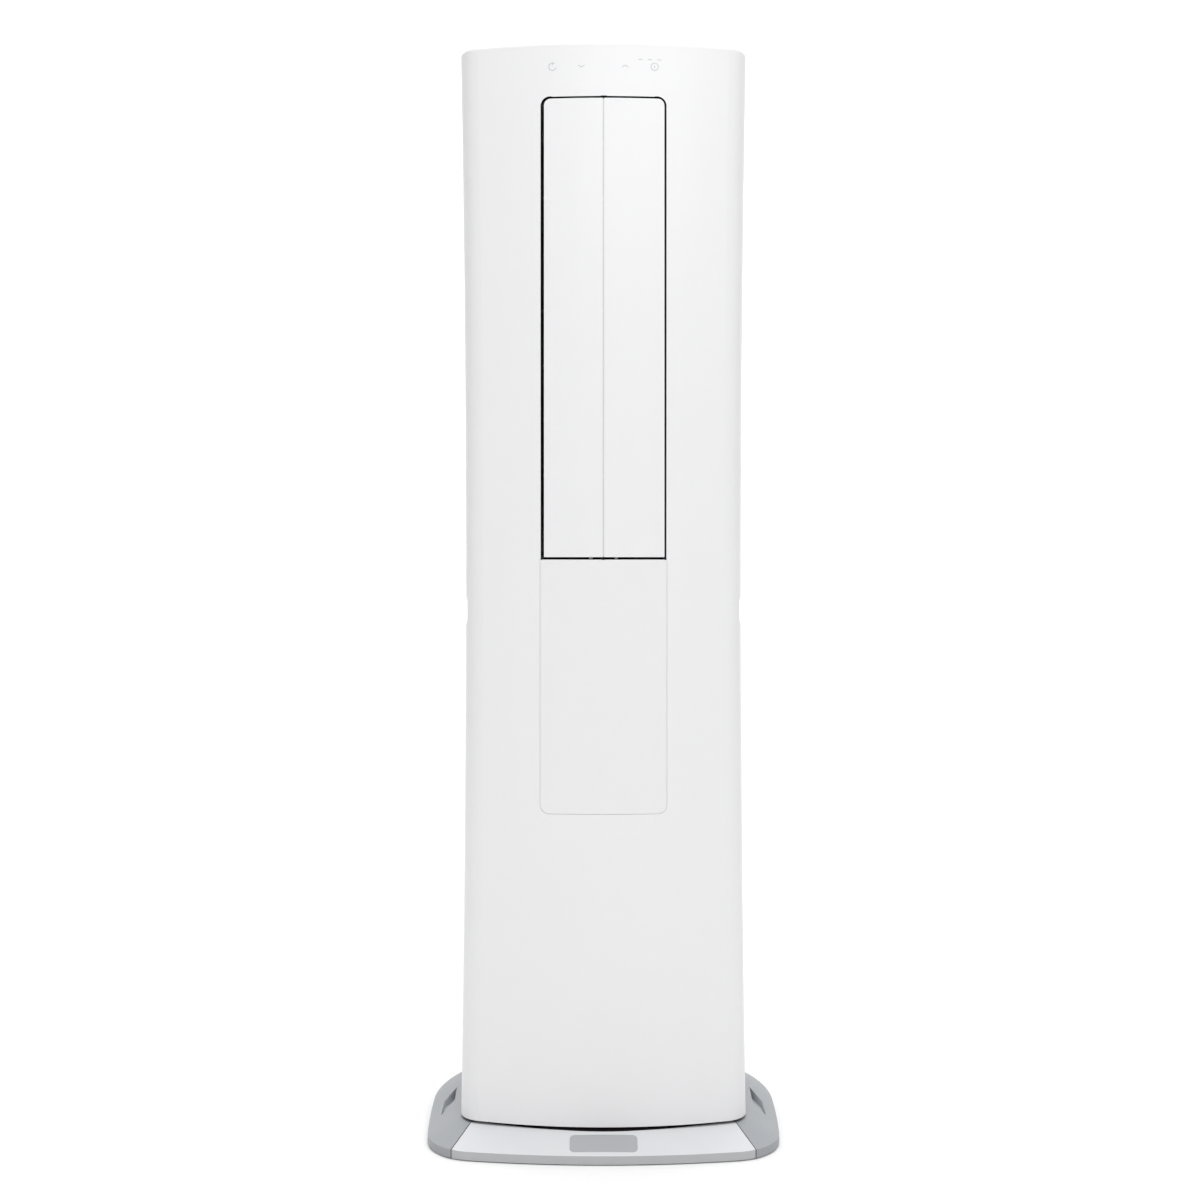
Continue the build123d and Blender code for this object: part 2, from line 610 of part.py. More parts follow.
# Air duct between the outlet and the fan, its front edge following the front panel
with BuildPart() as air_duct:
    with BuildSketch(Plane.XZ.offset(-DUCT_BACK_Y)) as duct_wall:
        add(front_window(0, -OUTLET_HALF_WIDTH, OUTLET_HALF_WIDTH, OUTLET_FOOT, OUTLET_TOP, 0,
                         OUTLET_CORNER).moved(Location((0, DUCT_BACK_Y, 0))))
        offset(amount=DUCT_WALL, kind=Kind.INTERSECTION)
    extrude(amount=150)
    extrude(outlet_window.moved(Location((0, 200, 0))), amount=400, mode=Mode.SUBTRACT)
    add(inner_block, mode=Mode.INTERSECT)
    with BuildSketch(Plane.YZ.offset(-BASE_HALF_WIDTH)):
        with Locations(*[(LOUVRE_Y, z) for z in louvre_levels]):
            Circle(LOUVRE_PIN + RUNNING)
    extrude(amount=2 * BASE_HALF_WIDTH, mode=Mode.SUBTRACT)
    with BuildSketch(Plane.XY):
        with Locations(*pivots):
            Circle(BUSH_RADIUS)
    extrude(amount=HEIGHT, mode=Mode.SUBTRACT)
finish(air_duct.part, "air_duct")

# Front vanes: two curved leaves that open inward about pivots near the middle seam
BOSS_RADIUS = 5.5
BOSS_LENGTH = 14.0
SPINE_WIDTH = 3.0
SPINE_BACK_Y = -154.5
SPINE_FRONT_Y = CABINET_FRONT + 1.5
FOOT_PIN = 8.0
TOP_PIN = 13.0
vane_window = front_window(-100.0, VANE_LEFT, VANE_RIGHT, VANE_FOOT, VANE_TOP, 0, VANE_CORNER)
vane_pair = front_patch(outer_block, VANE_THICK, vane_window)


def front_vane(hand):
    """One vane: curved leaf, spine rib, end bosses and pivot pins. hand is -1 for left, 1 for right"""
    with BuildPart() as vane:
        add(vane_pair)
        split(bisect_by=Plane.YZ.offset(hand * VANE_SEAM / 2), keep=Keep.TOP if hand > 0 else Keep.BOTTOM)
        with BuildSketch(Plane.XY.offset(VANE_FOOT + 1)):
            with Locations((hand * PIVOT_X, (SPINE_BACK_Y + SPINE_FRONT_Y) / 2)):
                Rectangle(SPINE_WIDTH, SPINE_BACK_Y - SPINE_FRONT_Y)
        extrude(amount=VANE_TOP - VANE_FOOT - 2)
        with BuildSketch(Plane.XY.offset(VANE_FOOT)):
            with Locations((hand * PIVOT_X, PIVOT_Y)):
                Circle(BOSS_RADIUS)
        extrude(amount=BOSS_LENGTH)
        with BuildSketch(Plane.XY.offset(VANE_TOP)):
            with Locations((hand * PIVOT_X, PIVOT_Y)):
                Circle(BOSS_RADIUS)
        extrude(amount=-BOSS_LENGTH)
        with BuildSketch(Plane.XY.offset(VANE_FOOT)):
            with Locations((hand * PIVOT_X, PIVOT_Y)):
                Circle(PIVOT_RADIUS)
        extrude(amount=-FOOT_PIN)
        with BuildSketch(Plane.XY.offset(VANE_TOP)):
            with Locations((hand * PIVOT_X, PIVOT_Y)):
                Circle(PIVOT_RADIUS)
        extrude(amount=TOP_PIN)
    return vane.part


left_vane = front_vane(-1)
finish(left_vane, "left_vane")
right_vane = front_vane(1)
finish(right_vane, "right_vane")

# Vane bushes: flanged plastic sleeves in the end plates and duct
BUSH_FLANGE = 0.8
BUSH_FLANGE_RADIUS = 7.0
with BuildPart() as vane_bushes:
    for foot, flange_foot in (
        (OUTLET_FOOT - DUCT_WALL - PLATE, OUTLET_FOOT), (OUTLET_TOP, OUTLET_TOP - BUSH_FLANGE)
    ):
        with BuildSketch(Plane.XY.offset(foot)):
            with Locations(*pivots):
                Circle(BUSH_RADIUS)
        extrude(amount=DUCT_WALL + PLATE)
        with BuildSketch(Plane.XY.offset(flange_foot)):
            with Locations(*pivots):
                Circle(BUSH_FLANGE_RADIUS)
        extrude(amount=BUSH_FLANGE)
    with BuildSketch(Plane.XY):
        with Locations(*pivots):
            Circle(PIVOT_RADIUS + RUNNING)
    extrude(amount=HEIGHT, mode=Mode.SUBTRACT)
finish(vane_bushes.part, "vane_bushes")

# Geared stepper motors: two over the vanes with offset shafts, one beside the lowest louvre
MOTOR_RADIUS = 14.0
MOTOR_LENGTH = 19.0
SHAFT_OFFSET = 8.0
SOCKET_DEPTH = 7.0
MOTOR_EARS = (38.0, 7.0)
EAR_PLATE = 1.0
TERMINAL_BOX = (15.0, 8.0, 15.0)


def stepper(mount, shaft, shaft_radius):
    """Stepper motor standing on a mounting plane, with a socket for the driven pin at shaft"""
    with BuildPart() as motor:
        with BuildSketch(mount):
            Circle(MOTOR_RADIUS)
        extrude(amount=MOTOR_LENGTH)
        with BuildSketch(mount):
            SlotOverall(*MOTOR_EARS)
        extrude(amount=EAR_PLATE)
        with BuildSketch(mount.offset(2 * EAR_PLATE)):
            with Locations((0, MOTOR_RADIUS)):
                Rectangle(*TERMINAL_BOX[:2])
        extrude(amount=TERMINAL_BOX[2])
        with BuildSketch(mount):
            with Locations(shaft):
                Circle(shaft_radius + RUNNING)
        extrude(amount=SOCKET_DEPTH, mode=Mode.SUBTRACT)
    return motor.part


vane_motor_z = UPPER_PLATE_FOOT + PLATE
for hand, name in ((-1, "left_vane_motor"), (1, "right_vane_motor")):
    plate_top = Plane((hand * PIVOT_X, PIVOT_Y + SHAFT_OFFSET, vane_motor_z))
    finish(stepper(plate_top, (0, -SHAFT_OFFSET), PIVOT_RADIUS), name)

duct_side = Plane(
    origin=(OUTLET_HALF_WIDTH + DUCT_WALL, LOUVRE_Y, louvre_levels[0]), x_dir=(0, 0, 1), z_dir=(1, 0, 0)
)
finish(stepper(duct_side, (0, 0), LOUVRE_PIN), "louvre_motor")

# Louvres: thin lens-section blades with end pins, and a crank ear at the right
EAR_NOTCH_X = 83.0
EAR_NOTCH_Y = -50.0
EAR_WIDTH = 7.0
NOTCH_DEPTH = 20.0
NOTCH_HEIGHT = 10.0
PIN_COLLAR = 4.0
PIN_REACH = 4.8
DRIVEN_PIN_REACH = 11.0


def louvre(z, right_pin):
    """One blade at height z, its right pin reaching out by right_pin"""
    leading = (LOUVRE_Y - LOUVRE_HALF_CHORD, z)
    trailing = (LOUVRE_Y + LOUVRE_HALF_CHORD, z)
    with BuildPart() as blade:
        with BuildSketch(Plane.YZ.offset(-LOUVRE_HALF_SPAN)):
            with BuildLine():
                ThreePointArc(leading, (LOUVRE_Y, z + LOUVRE_CROWN), trailing)
                ThreePointArc(trailing, (LOUVRE_Y, z - LOUVRE_CROWN), leading)
            make_face()
        extrude(amount=2 * LOUVRE_HALF_SPAN)
        with BuildSketch(Plane.XY.offset(z - NOTCH_HEIGHT / 2)):
            with Locations((LOUVRE_HALF_SPAN, EAR_NOTCH_Y + NOTCH_DEPTH / 2)):
                Rectangle(2 * (LOUVRE_HALF_SPAN - EAR_NOTCH_X), NOTCH_DEPTH)
        extrude(amount=NOTCH_HEIGHT, mode=Mode.SUBTRACT)
        with BuildSketch(Plane.YZ.offset(EAR_X)):
            with Locations((LOUVRE_Y + CRANK / 2, z)):
                SlotCenterToCenter(CRANK, EAR_WIDTH)
        extrude(amount=EAR_THICK)
        with BuildSketch(Plane.YZ.offset(EAR_X)):
            with Locations((LOUVRE_Y + CRANK, z)):
                Circle(CRANK_PIN)
        extrude(amount=EAR_THICK + LINK_THICK + 1.8)
        for hand, reach in ((-1, PIN_REACH), (1, right_pin)):
            end = Plane(origin=(hand * LOUVRE_HALF_SPAN, LOUVRE_Y, z), x_dir=(0, 1, 0), z_dir=(hand, 0, 0))
            with BuildSketch(end):
                Circle(PIN_COLLAR)
            extrude(amount=-EAR_THICK)
            with BuildSketch(end):
                Circle(LOUVRE_PIN)
            extrude(amount=reach)
    return blade.part


for index, level in enumerate(louvre_levels, start=1):
    finish(louvre(level, DRIVEN_PIN_REACH if index == 1 else PIN_REACH), f"louvre_{index:02d}")

with BuildPart() as louvre_link:
    with BuildSketch(Plane.YZ.offset(LINK_X)):
        with Locations((LOUVRE_Y + CRANK, (louvre_levels[0] + louvre_levels[-1]) / 2)):
            SlotCenterToCenter(louvre_levels[-1] - louvre_levels[0], LINK_WIDTH, rotation=90)
        with Locations(*[(LOUVRE_Y + CRANK, z) for z in louvre_levels]):
            Circle(CRANK_PIN + RUNNING, mode=Mode.SUBTRACT)
    extrude(amount=LINK_THICK)
finish(louvre_link.part, "louvre_link")

# Cross-flow rotor: forward-curved blades through rings, with closed hubs at both ends
BLADE_INNER = 40.0
BLADE_OUTER = 51.2
HUB_RADIUS = 12.0
TOP_SHAFT = 4.0
MOTOR_SHAFT = 5.0
bay = (FAN_TOP - FAN_FOOT - RING_THICK) / FAN_BAYS
ring_levels = [FAN_FOOT + bay * i for i in range(FAN_BAYS + 1)]

with BuildSketch() as blade_section:
    with BuildLine():
        ThreePointArc((BLADE_INNER, 0), (46.5, 2.6), (BLADE_OUTER - 1, 8.2))
        Line((BLADE_OUTER - 1, 8.2), (BLADE_OUTER - 1.8, 9.0))
        ThreePointArc((BLADE_OUTER - 1.8, 9.0), (45.9, 3.9), (BLADE_INNER, 1.4))
        Line((BLADE_INNER, 1.4), (BLADE_INNER, 0))
    make_face()

with BuildPart() as fan_rotor:
    with BuildSketch(Plane((0, FAN_Y, FAN_FOOT + 1))):
        with PolarLocations(0, BLADES):
            add(blade_section.sketch)
    extrude(amount=FAN_TOP - FAN_FOOT - 2)
    for level in ring_levels:
        with BuildSketch(Plane((0, FAN_Y, level))):
            Circle(FAN_RADIUS)
            if level not in (ring_levels[0], ring_levels[-1]):
                Circle(BLADE_INNER - 2, mode=Mode.SUBTRACT)
        extrude(amount=RING_THICK)
    for level, bore in ((ring_levels[0], MOTOR_SHAFT), (ring_levels[-1] - HUB_RADIUS, TOP_SHAFT)):
        with BuildSketch(Plane((0, FAN_Y, level))):
            Circle(HUB_RADIUS)
        extrude(amount=HUB_RADIUS + RING_THICK)
        with BuildSketch(Plane((0, FAN_Y, level))):
            Circle(bore)
        extrude(amount=HUB_RADIUS + RING_THICK, mode=Mode.SUBTRACT)
finish(fan_rotor.part, "fan_rotor")

SHAFT_FOOT = 921.0
SHAFT_TOP = 1688.0
with BuildPart() as fan_shaft:
    with BuildSketch(Plane((0, FAN_Y, SHAFT_FOOT))):
        Circle(MOTOR_SHAFT)
    extrude(amount=FAN_FOOT + HUB_RADIUS - SHAFT_FOOT)
    with BuildSketch(Plane((0, FAN_Y, SHAFT_TOP))):
        Circle(TOP_SHAFT)
    extrude(amount=FAN_TOP - HUB_RADIUS - SHAFT_TOP)
finish(fan_shaft.part, "fan_shaft")

BEARING_FLANGE = (22.0, 2.5)
BEARING_BODY = 14.0
with BuildPart() as fan_bearing:
    with BuildSketch(Plane((0, FAN_Y, vane_motor_z))):
        Circle(BEARING_FLANGE[0])
    extrude(amount=BEARING_FLANGE[1])
    with BuildSketch(Plane((0, FAN_Y, vane_motor_z))):
        Circle(BEARING_BODY)
    extrude(amount=SHAFT_TOP - vane_motor_z)
    fillet(fan_bearing.edges().group_by(Axis.Z)[-1], radius=2)
    with BuildSketch(Plane((0, FAN_Y, vane_motor_z))):
        Circle(TOP_SHAFT + RUNNING)
    extrude(amount=2 * HUB_RADIUS, mode=Mode.SUBTRACT)
finish(fan_bearing.part, "fan_bearing")

MOTOR_CAN = (48.0, 72.0)
MOTOR_NOSE = (18.0, 8.0)
with BuildPart() as fan_motor:
    with BuildSketch(Plane((0, FAN_Y, LOWER_PLATE_TOP - PLATE))):
        Circle(MOTOR_CAN[0])
    extrude(amount=-MOTOR_CAN[1])
    fillet(fan_motor.edges().group_by(Axis.Z)[0], radius=8)
    with BuildSketch(Plane((0, FAN_Y, LOWER_PLATE_TOP - PLATE - MOTOR_CAN[1]))):
        Circle(MOTOR_NOSE[0])
    extrude(amount=-MOTOR_NOSE[1])
    with BuildSketch(Plane((0, FAN_Y, LOWER_PLATE_TOP - PLATE))):
        Circle(MOTOR_SHAFT + RUNNING)
    extrude(amount=SHAFT_FOOT - 1 - LOWER_PLATE_TOP + PLATE, mode=Mode.SUBTRACT)
finish(fan_motor.part, "fan_motor")

# Scroll and tongue: sheet guides that wrap the rotor and lead from the coil to the duct
GUIDE_WALL = 2.5
GUIDE_X = OUTLET_HALF_WIDTH + DUCT_WALL / 2
GUIDE_FRONT_Y = DUCT_BACK_Y + 0.8
SCROLL_MIDDLE = (-93.0, 32.0)
SCROLL_END = (-64.0, 70.0)
TONGUE_MIDDLE = (82.0, -4.0)
TONGUE_TIP = (54.0, 7.0)
WING_END = (175.0, 82.0)
wing_root = (GUIDE_X, DUCT_BACK_Y + 4)
guide_height = UPPER_PLATE_FOOT - LOWER_PLATE_TOP
with BuildPart() as fan_scroll:
    with BuildSketch(Plane.XY.offset(LOWER_PLATE_TOP)):
        with BuildLine():
            ThreePointArc((-GUIDE_X, GUIDE_FRONT_Y), SCROLL_MIDDLE, SCROLL_END)
        trace(line_width=GUIDE_WALL)
        with BuildLine():
            Line((-wing_root[0], wing_root[1]), (-WING_END[0], WING_END[1]))
        trace(line_width=GUIDE_WALL)
    extrude(amount=guide_height)
finish(fan_scroll.part, "fan_scroll")

with BuildPart() as fan_tongue:
    with BuildSketch(Plane.XY.offset(LOWER_PLATE_TOP)):
        with BuildLine():
            ThreePointArc((GUIDE_X, GUIDE_FRONT_Y), TONGUE_MIDDLE, TONGUE_TIP)
        trace(line_width=GUIDE_WALL)
        with BuildLine():
            Line(wing_root, WING_END)
        trace(line_width=GUIDE_WALL)
        with Locations(TONGUE_TIP):
            Circle(GUIDE_WALL)
    extrude(amount=guide_height)
finish(fan_tongue.part, "fan_tongue")

# Evaporator: fin pack between two tube sheets, with return bends outside them
COIL_GROOVE = (3.0, 5.0)
COIL_GROOVE_PITCH = 9.0
TUBE_SHEET_DEPTH = 32.0
with BuildPart() as evaporator_core:
    with BuildSketch(Plane.XY.offset(COIL_FOOT)):
        with Locations((0, (COIL_FRONT + COIL_BACK) / 2)):
            Rectangle(2 * COIL_HALF_WIDTH, COIL_BACK - COIL_FRONT)
        with Locations((0, COIL_BACK)):
            with GridLocations(COIL_GROOVE_PITCH, 0, 39, 1):
                Rectangle(*COIL_GROOVE, mode=Mode.SUBTRACT)
    extrude(amount=COIL_TOP - COIL_FOOT)
    for hand in (-1, 1):
        with BuildSketch(Plane.XY.offset(LOWER_PLATE_TOP + PLATE)):
            with Locations((hand * (COIL_HALF_WIDTH + PLATE / 2), (COIL_FRONT + COIL_BACK) / 2)):
                Rectangle(PLATE, TUBE_SHEET_DEPTH)
        extrude(amount=guide_height - PLATE)
finish(evaporator_core.part, "evaporator_core")

BEND_RADIUS = 12.5
TUBE_RADIUS = 4.0
FIRST_BEND_Z = 1060.0
BEND_PITCH = 75.0
sheet_x = COIL_HALF_WIDTH + PLATE
with BuildPart() as evaporator_bends:
    for hand in (-1, 1):
        for step in range(8):
            bend_z = FIRST_BEND_Z + BEND_PITCH * step
            centre = (hand * sheet_x, (COIL_FRONT + COIL_BACK) / 2, bend_z)
            with BuildSketch(Plane(centre, x_dir=(0, 1, 0), z_dir=(hand, 0, 0))):
                with Locations((0, BEND_RADIUS)):
                    Circle(TUBE_RADIUS)
            turn_axis = Axis(centre, (0, 1, 0))
            revolve(axis=turn_axis, revolution_arc=180)
finish(evaporator_bends.part, "evaporator_bends")

PAN_SIZE = (368.0, 36.0)
PAN_DEPTH = 19.0
PAN_CORNER = 3.0
SPOUT_LENGTH = 22.0
SPOUT_WALL = 1.5
pan_middle = (COIL_FRONT + COIL_BACK) / 2
with BuildPart() as drain_pan:
    with BuildSketch(Plane.XY.offset(LOWER_PLATE_TOP)):
        with Locations((0, pan_middle)):
            RectangleRounded(*PAN_SIZE, PAN_CORNER)
    extrude(amount=PAN_DEPTH)
    with BuildSketch(Plane.XY.offset(LOWER_PLATE_TOP + PLATE)):
        with Locations((0, pan_middle)):
            RectangleRounded(PAN_SIZE[0] - 2 * PLATE, PAN_SIZE[1] - 2 * PLATE, PAN_CORNER - 1)
    extrude(amount=PAN_DEPTH, mode=Mode.SUBTRACT)
    with BuildSketch(Plane.XY.offset(LOWER_PLATE_TOP + PLATE)):
        with Locations(SPOUT):
            Circle(SPOUT_RADIUS)
    extrude(amount=-SPOUT_LENGTH)
    with BuildSketch(Plane.XY.offset(LOWER_PLATE_TOP + PLATE)):
        with Locations(SPOUT):
            Circle(SPOUT_RADIUS - SPOUT_WALL)
    extrude(amount=-SPOUT_LENGTH, mode=Mode.SUBTRACT)
finish(drain_pan.part, "drain_pan")


def swept_tube(points, bend, radius, bore=0.0):
    """Round tube along straight runs with bends of one radius, starting on its first point"""
    route = FilletPolyline(*points, radius=bend)
    with BuildPart() as tube:
        with BuildSketch(Plane(route @ 0, z_dir=route % 0)):
            Circle(radius)
            if bore:
                Circle(bore, mode=Mode.SUBTRACT)
        sweep(path=route)
    return tube.part


# Refrigerant pipes and drain hose, each ending just inside the pipe outlet
PIPE_END_Y = 150.0
GAS_RADIUS = 8.0
LIQUID_RADIUS = 5.0
HOSE_RADIUS = 10.0
GAS_END = (108.0, 148.0)
LIQUID_END = (134.0, 150.0)
HOSE_END = (120.0, 120.0)
GAS_TURNS = (1010.0, 340.0, 20.0)
LIQUID_TURNS = (985.0, 380.0, 13.0)
HOSE_BEND = 30.0


def refrigerant_pipe(leg, end, turns, radius):
    """Pipe from the coil's right tube sheet down its leg, across and back to the pipe outlet"""
    high, low, bend = turns
    route = [(sheet_x, leg[1], high), (*leg, high), (*leg, low), (end[0], leg[1], low),
             (end[0], leg[1], end[1]), (end[0], PIPE_END_Y, end[1])]
    return swept_tube(route, bend, radius)


finish(refrigerant_pipe(GAS_LEG, GAS_END, GAS_TURNS, GAS_RADIUS), "gas_pipe")
finish(refrigerant_pipe(LIQUID_LEG, LIQUID_END, LIQUID_TURNS, LIQUID_RADIUS), "liquid_pipe")
drain_hose = swept_tube(
    [(*SPOUT, LOWER_PLATE_TOP - PLATE - 1), (*SPOUT, HOSE_END[1]), (HOSE_END[0], SPOUT[1], HOSE_END[1]),
     (HOSE_END[0], PIPE_END_Y, HOSE_END[1])], HOSE_BEND, HOSE_RADIUS, SPOUT_RADIUS)
finish(drain_hose, "drain_hose")

GAS_NUT_FLATS = 24.0
LIQUID_NUT_FLATS = 17.0
NUT_LENGTH = 15.0
with BuildPart() as flare_nuts:
    for place, pipe_radius, flats in (
        (GAS_END, GAS_RADIUS, GAS_NUT_FLATS), (LIQUID_END, LIQUID_RADIUS, LIQUID_NUT_FLATS)
    ):
        with BuildSketch(Plane.XZ.offset(-PIPE_END_Y)):
            with Locations(place):
                RegularPolygon(flats / 2, 6, major_radius=False)
                Circle(pipe_radius, mode=Mode.SUBTRACT)
        extrude(amount=NUT_LENGTH)
finish(flare_nuts.part, "flare_nuts")

# Air filters: a net on a ribbed frame, with an end cap that closes the slot in the side panel
NET_THICK = 0.8
FILTER_REACH = 206.0
NET_MIDDLE_X = 98.0
NET_PITCH = (92.0, 84.0)
NET_WINDOW = (86.0, 78.0)
CAP_REACH = 40.0
PULL_X = 240.0
PULL_SIZE = (44.0, 70.0)
PULL_CORNER = 8.0
PULL_DEPTH = 3.0
with BuildPart() as right_filter:
    with BuildSketch(Plane.XZ.offset(-FILTER_Y)) as filter_face:
        with Locations(((FILTER_REACH + 1) / 2, slot_centre[1])):
            Rectangle(FILTER_REACH - 1, FILTER_TOP - FILTER_FOOT)
    extrude(amount=FILTER_THICK / 2, both=True)
    with BuildSketch(Plane.XZ.offset(-FILTER_Y)):
        with Locations((NET_MIDDLE_X, slot_centre[1])):
            with GridLocations(*NET_PITCH, 2, 8):
                Rectangle(*NET_WINDOW)
    extrude(amount=FILTER_THICK, both=True, mode=Mode.SUBTRACT)
    extrude(filter_face.sketch, amount=NET_THICK / 2, both=True)
    with BuildSketch(Plane.YZ.offset(FILTER_REACH)) as cap_face:
        with Locations(slot_centre):
            Rectangle(CAP_THICK, FILTER_TOP - FILTER_FOOT + 2 * CAP_OVERHANG)
    extrude(amount=CAP_REACH)
    with BuildSketch(Plane.XZ.offset(-FILTER_Y)):
        with Locations((PULL_X, slot_centre[1])):
            RectangleRounded(*PULL_SIZE, PULL_CORNER)
    extrude(amount=PULL_DEPTH, both=True, mode=Mode.SUBTRACT)
    add(outer_block, mode=Mode.INTERSECT)
finish(right_filter.part, "right_filter")

with BuildPart() as left_filter:
    mirror(right_filter.part, about=Plane.YZ)
finish(left_filter.part, "left_filter")

# Filter rails: channels fixed to the rear panel, one under and one over the filters
RAIL_HALF = 196.0
RAIL_HEIGHT = 9.0
RAIL_WALL = 3.0
ARM_THICK = 2.0
with BuildPart() as filter_rails:
    for side, edge in ((1, FILTER_FOOT), (-1, FILTER_TOP)):
        with BuildSketch(Plane.YZ.offset(-RAIL_HALF)):
            with Locations((FILTER_Y, edge + side * 0.5)):
                Rectangle(FILTER_THICK + 2 * RAIL_WALL, RAIL_HEIGHT)
            with Locations((FILTER_Y, edge + side * 4)):
                Rectangle(FILTER_THICK + 2 * FIT, RAIL_HEIGHT, mode=Mode.SUBTRACT)
            with Locations(((FILTER_Y + CABINET_BACK - SKIN) / 2 + 2.5, edge - side * 2.5)):
                Rectangle(CABINET_BACK - SKIN - FILTER_Y - FILTER_THICK, ARM_THICK)
        extrude(amount=2 * RAIL_HALF)
finish(filter_rails.part, "filter_rails")

# Control box on the uprights, with its slotted lid
BOX_FOOT = 560.0
BOX_TOP = 850.0
BOX_SIZE = (220.0, 270.0)
BOX_CORNER = 5.0
BOX_DEPTH = 62.0
BOX_SHEET = 2.0
LID_THICK = 1.5
LID_SLOT = (90.0, 4.0)
LID_SLOT_PITCH = 12.0
box_middle = (0, (BOX_FOOT + BOX_TOP) / 2)
with BuildPart() as control_box:
    with BuildSketch(Plane.XZ):
        with Locations(box_middle):
            Rectangle(2 * UPRIGHT_X, BOX_TOP - BOX_FOOT)
    extrude(amount=PLATE)
    with BuildSketch(Plane.XZ):
        with Locations(box_middle):
            RectangleRounded(*BOX_SIZE, BOX_CORNER)
    extrude(amount=BOX_DEPTH)
    with BuildSketch(Plane.XZ.offset(PLATE)):
        with Locations(box_middle):
            RectangleRounded(BOX_SIZE[0] - 2 * BOX_SHEET, BOX_SIZE[1] - 2 * BOX_SHEET, BOX_CORNER - 1)
    extrude(amount=BOX_DEPTH, mode=Mode.SUBTRACT)
finish(control_box.part, "control_box")

with BuildPart() as control_lid:
    with BuildSketch(Plane.XZ.offset(BOX_DEPTH)):
        with Locations(box_middle):
            RectangleRounded(*BOX_SIZE, BOX_CORNER)
            with GridLocations(0, LID_SLOT_PITCH, 1, 8):
                SlotOverall(*LID_SLOT, mode=Mode.SUBTRACT)
    extrude(amount=LID_THICK)
finish(control_lid.part, "control_lid")

# Display board behind the touch keys, with a spring sensor at each key
BOARD_THICK = 1.6
BOARD_SIZE = (186.0, 40.0)
CHIP_HEIGHT = 4.0
KEY_Z = 1721.0
SPRING_RADII = (5.0, 4.0)
SPRING_GAP = 0.1
key_places = (-81.0, -35.0, 34.5, 81.0)
with BuildPart() as display_board:
    with BuildSketch(Plane.XZ.offset(-PIVOT_Y)):
        with Locations((0, DISPLAY_Z)):
            Rectangle(*BOARD_SIZE)
    extrude(amount=-BOARD_THICK)
    with BuildSketch(Plane.XZ.offset(-PIVOT_Y - BOARD_THICK)):
        with Locations((-12, DISPLAY_Z - 6)):
            Rectangle(22, 14)
        with Locations((28, DISPLAY_Z + 6)):
            Rectangle(26, 8)
    extrude(amount=-CHIP_HEIGHT)
finish(display_board.part, "display_board")

with BuildPart() as touch_sensors:
    for key_x in key_places:
        skin_y = CABINET_FRONT + SKIN + arc_drop(FRONT_RADIUS - SKIN, abs(key_x) + SPRING_RADII[0])
        with BuildSketch(Plane.XZ.offset(-PIVOT_Y)):
            with Locations((key_x, KEY_Z)):
                Circle(SPRING_RADII[0])
                Circle(SPRING_RADII[1], mode=Mode.SUBTRACT)
        extrude(amount=PIVOT_Y - skin_y - SPRING_GAP)
finish(touch_sensors.part, "touch_sensors")
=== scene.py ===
"""Dresses the tower air conditioner: finishes for every CAD node, key icons, trim lines, stage and camera."""
import logging
import math
from dataclasses import dataclass
from enum import Enum

import bmesh
import bpy
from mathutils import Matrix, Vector


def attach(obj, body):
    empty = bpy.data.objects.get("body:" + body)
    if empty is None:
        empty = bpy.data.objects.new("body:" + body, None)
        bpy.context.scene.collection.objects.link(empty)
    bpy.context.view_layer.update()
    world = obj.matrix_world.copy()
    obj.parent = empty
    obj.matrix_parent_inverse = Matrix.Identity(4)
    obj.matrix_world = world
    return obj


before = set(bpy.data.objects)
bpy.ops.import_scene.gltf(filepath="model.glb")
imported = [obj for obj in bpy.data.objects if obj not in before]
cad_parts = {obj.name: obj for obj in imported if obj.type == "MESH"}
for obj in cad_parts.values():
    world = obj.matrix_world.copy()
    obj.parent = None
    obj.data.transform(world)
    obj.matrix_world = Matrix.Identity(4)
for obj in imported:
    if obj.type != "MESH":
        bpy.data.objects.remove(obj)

logging.basicConfig(level=logging.INFO, format="%(message)s")
log = logging.getLogger("tower")
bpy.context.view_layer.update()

MM = 0.001
IMAGE_SIZE = 1200
WELD = 0.01 * MM


def linear(hex_colour: str) -> tuple[float, float, float, float]:
    """Turn an sRGB hex colour into linear RGBA.

    Args:
        hex_colour: six hex digits after a hash.

    Returns:
        The colour as Blender's sockets take it.
    """
    channels = [int(hex_colour[i:i + 2], 16) / 255 for i in (1, 3, 5)]
    return tuple(c / 12.92 if c <= 0.04045 else ((c + 0.055) / 1.055) ** 2.4 for c in channels) + (1.0,)


def node(tree: bpy.types.NodeTree, kind: str, settings: dict | None = None,
         links: dict | None = None) -> bpy.types.Node:
    """Add one shader node with its settings and incoming links.

    Args:
        tree: the material's or world's node tree.
        kind: Blender's node type name.
        settings: attribute names or socket names, with their values.
        links: input socket name or index, with the output socket that feeds it.

    Returns:
        The new node.
    """
    made = tree.nodes.new(kind)
    for name, value in (settings or {}).items():
        if name in made.inputs:
            made.inputs[name].default_value = value
        else:
            setattr(made, name, value)
    for name, source in (links or {}).items():
        tree.links.new(source, made.inputs[name])
    return made


class Surface(Enum):
    """How a surface was made, which sets the pattern of its bump and colour"""

    GRAIN = "moulded or coated grain"
    BRUSHED = "rolled or drawn, with long fine streaks"
    SPANGLE = "galvanised, with zinc crystals"


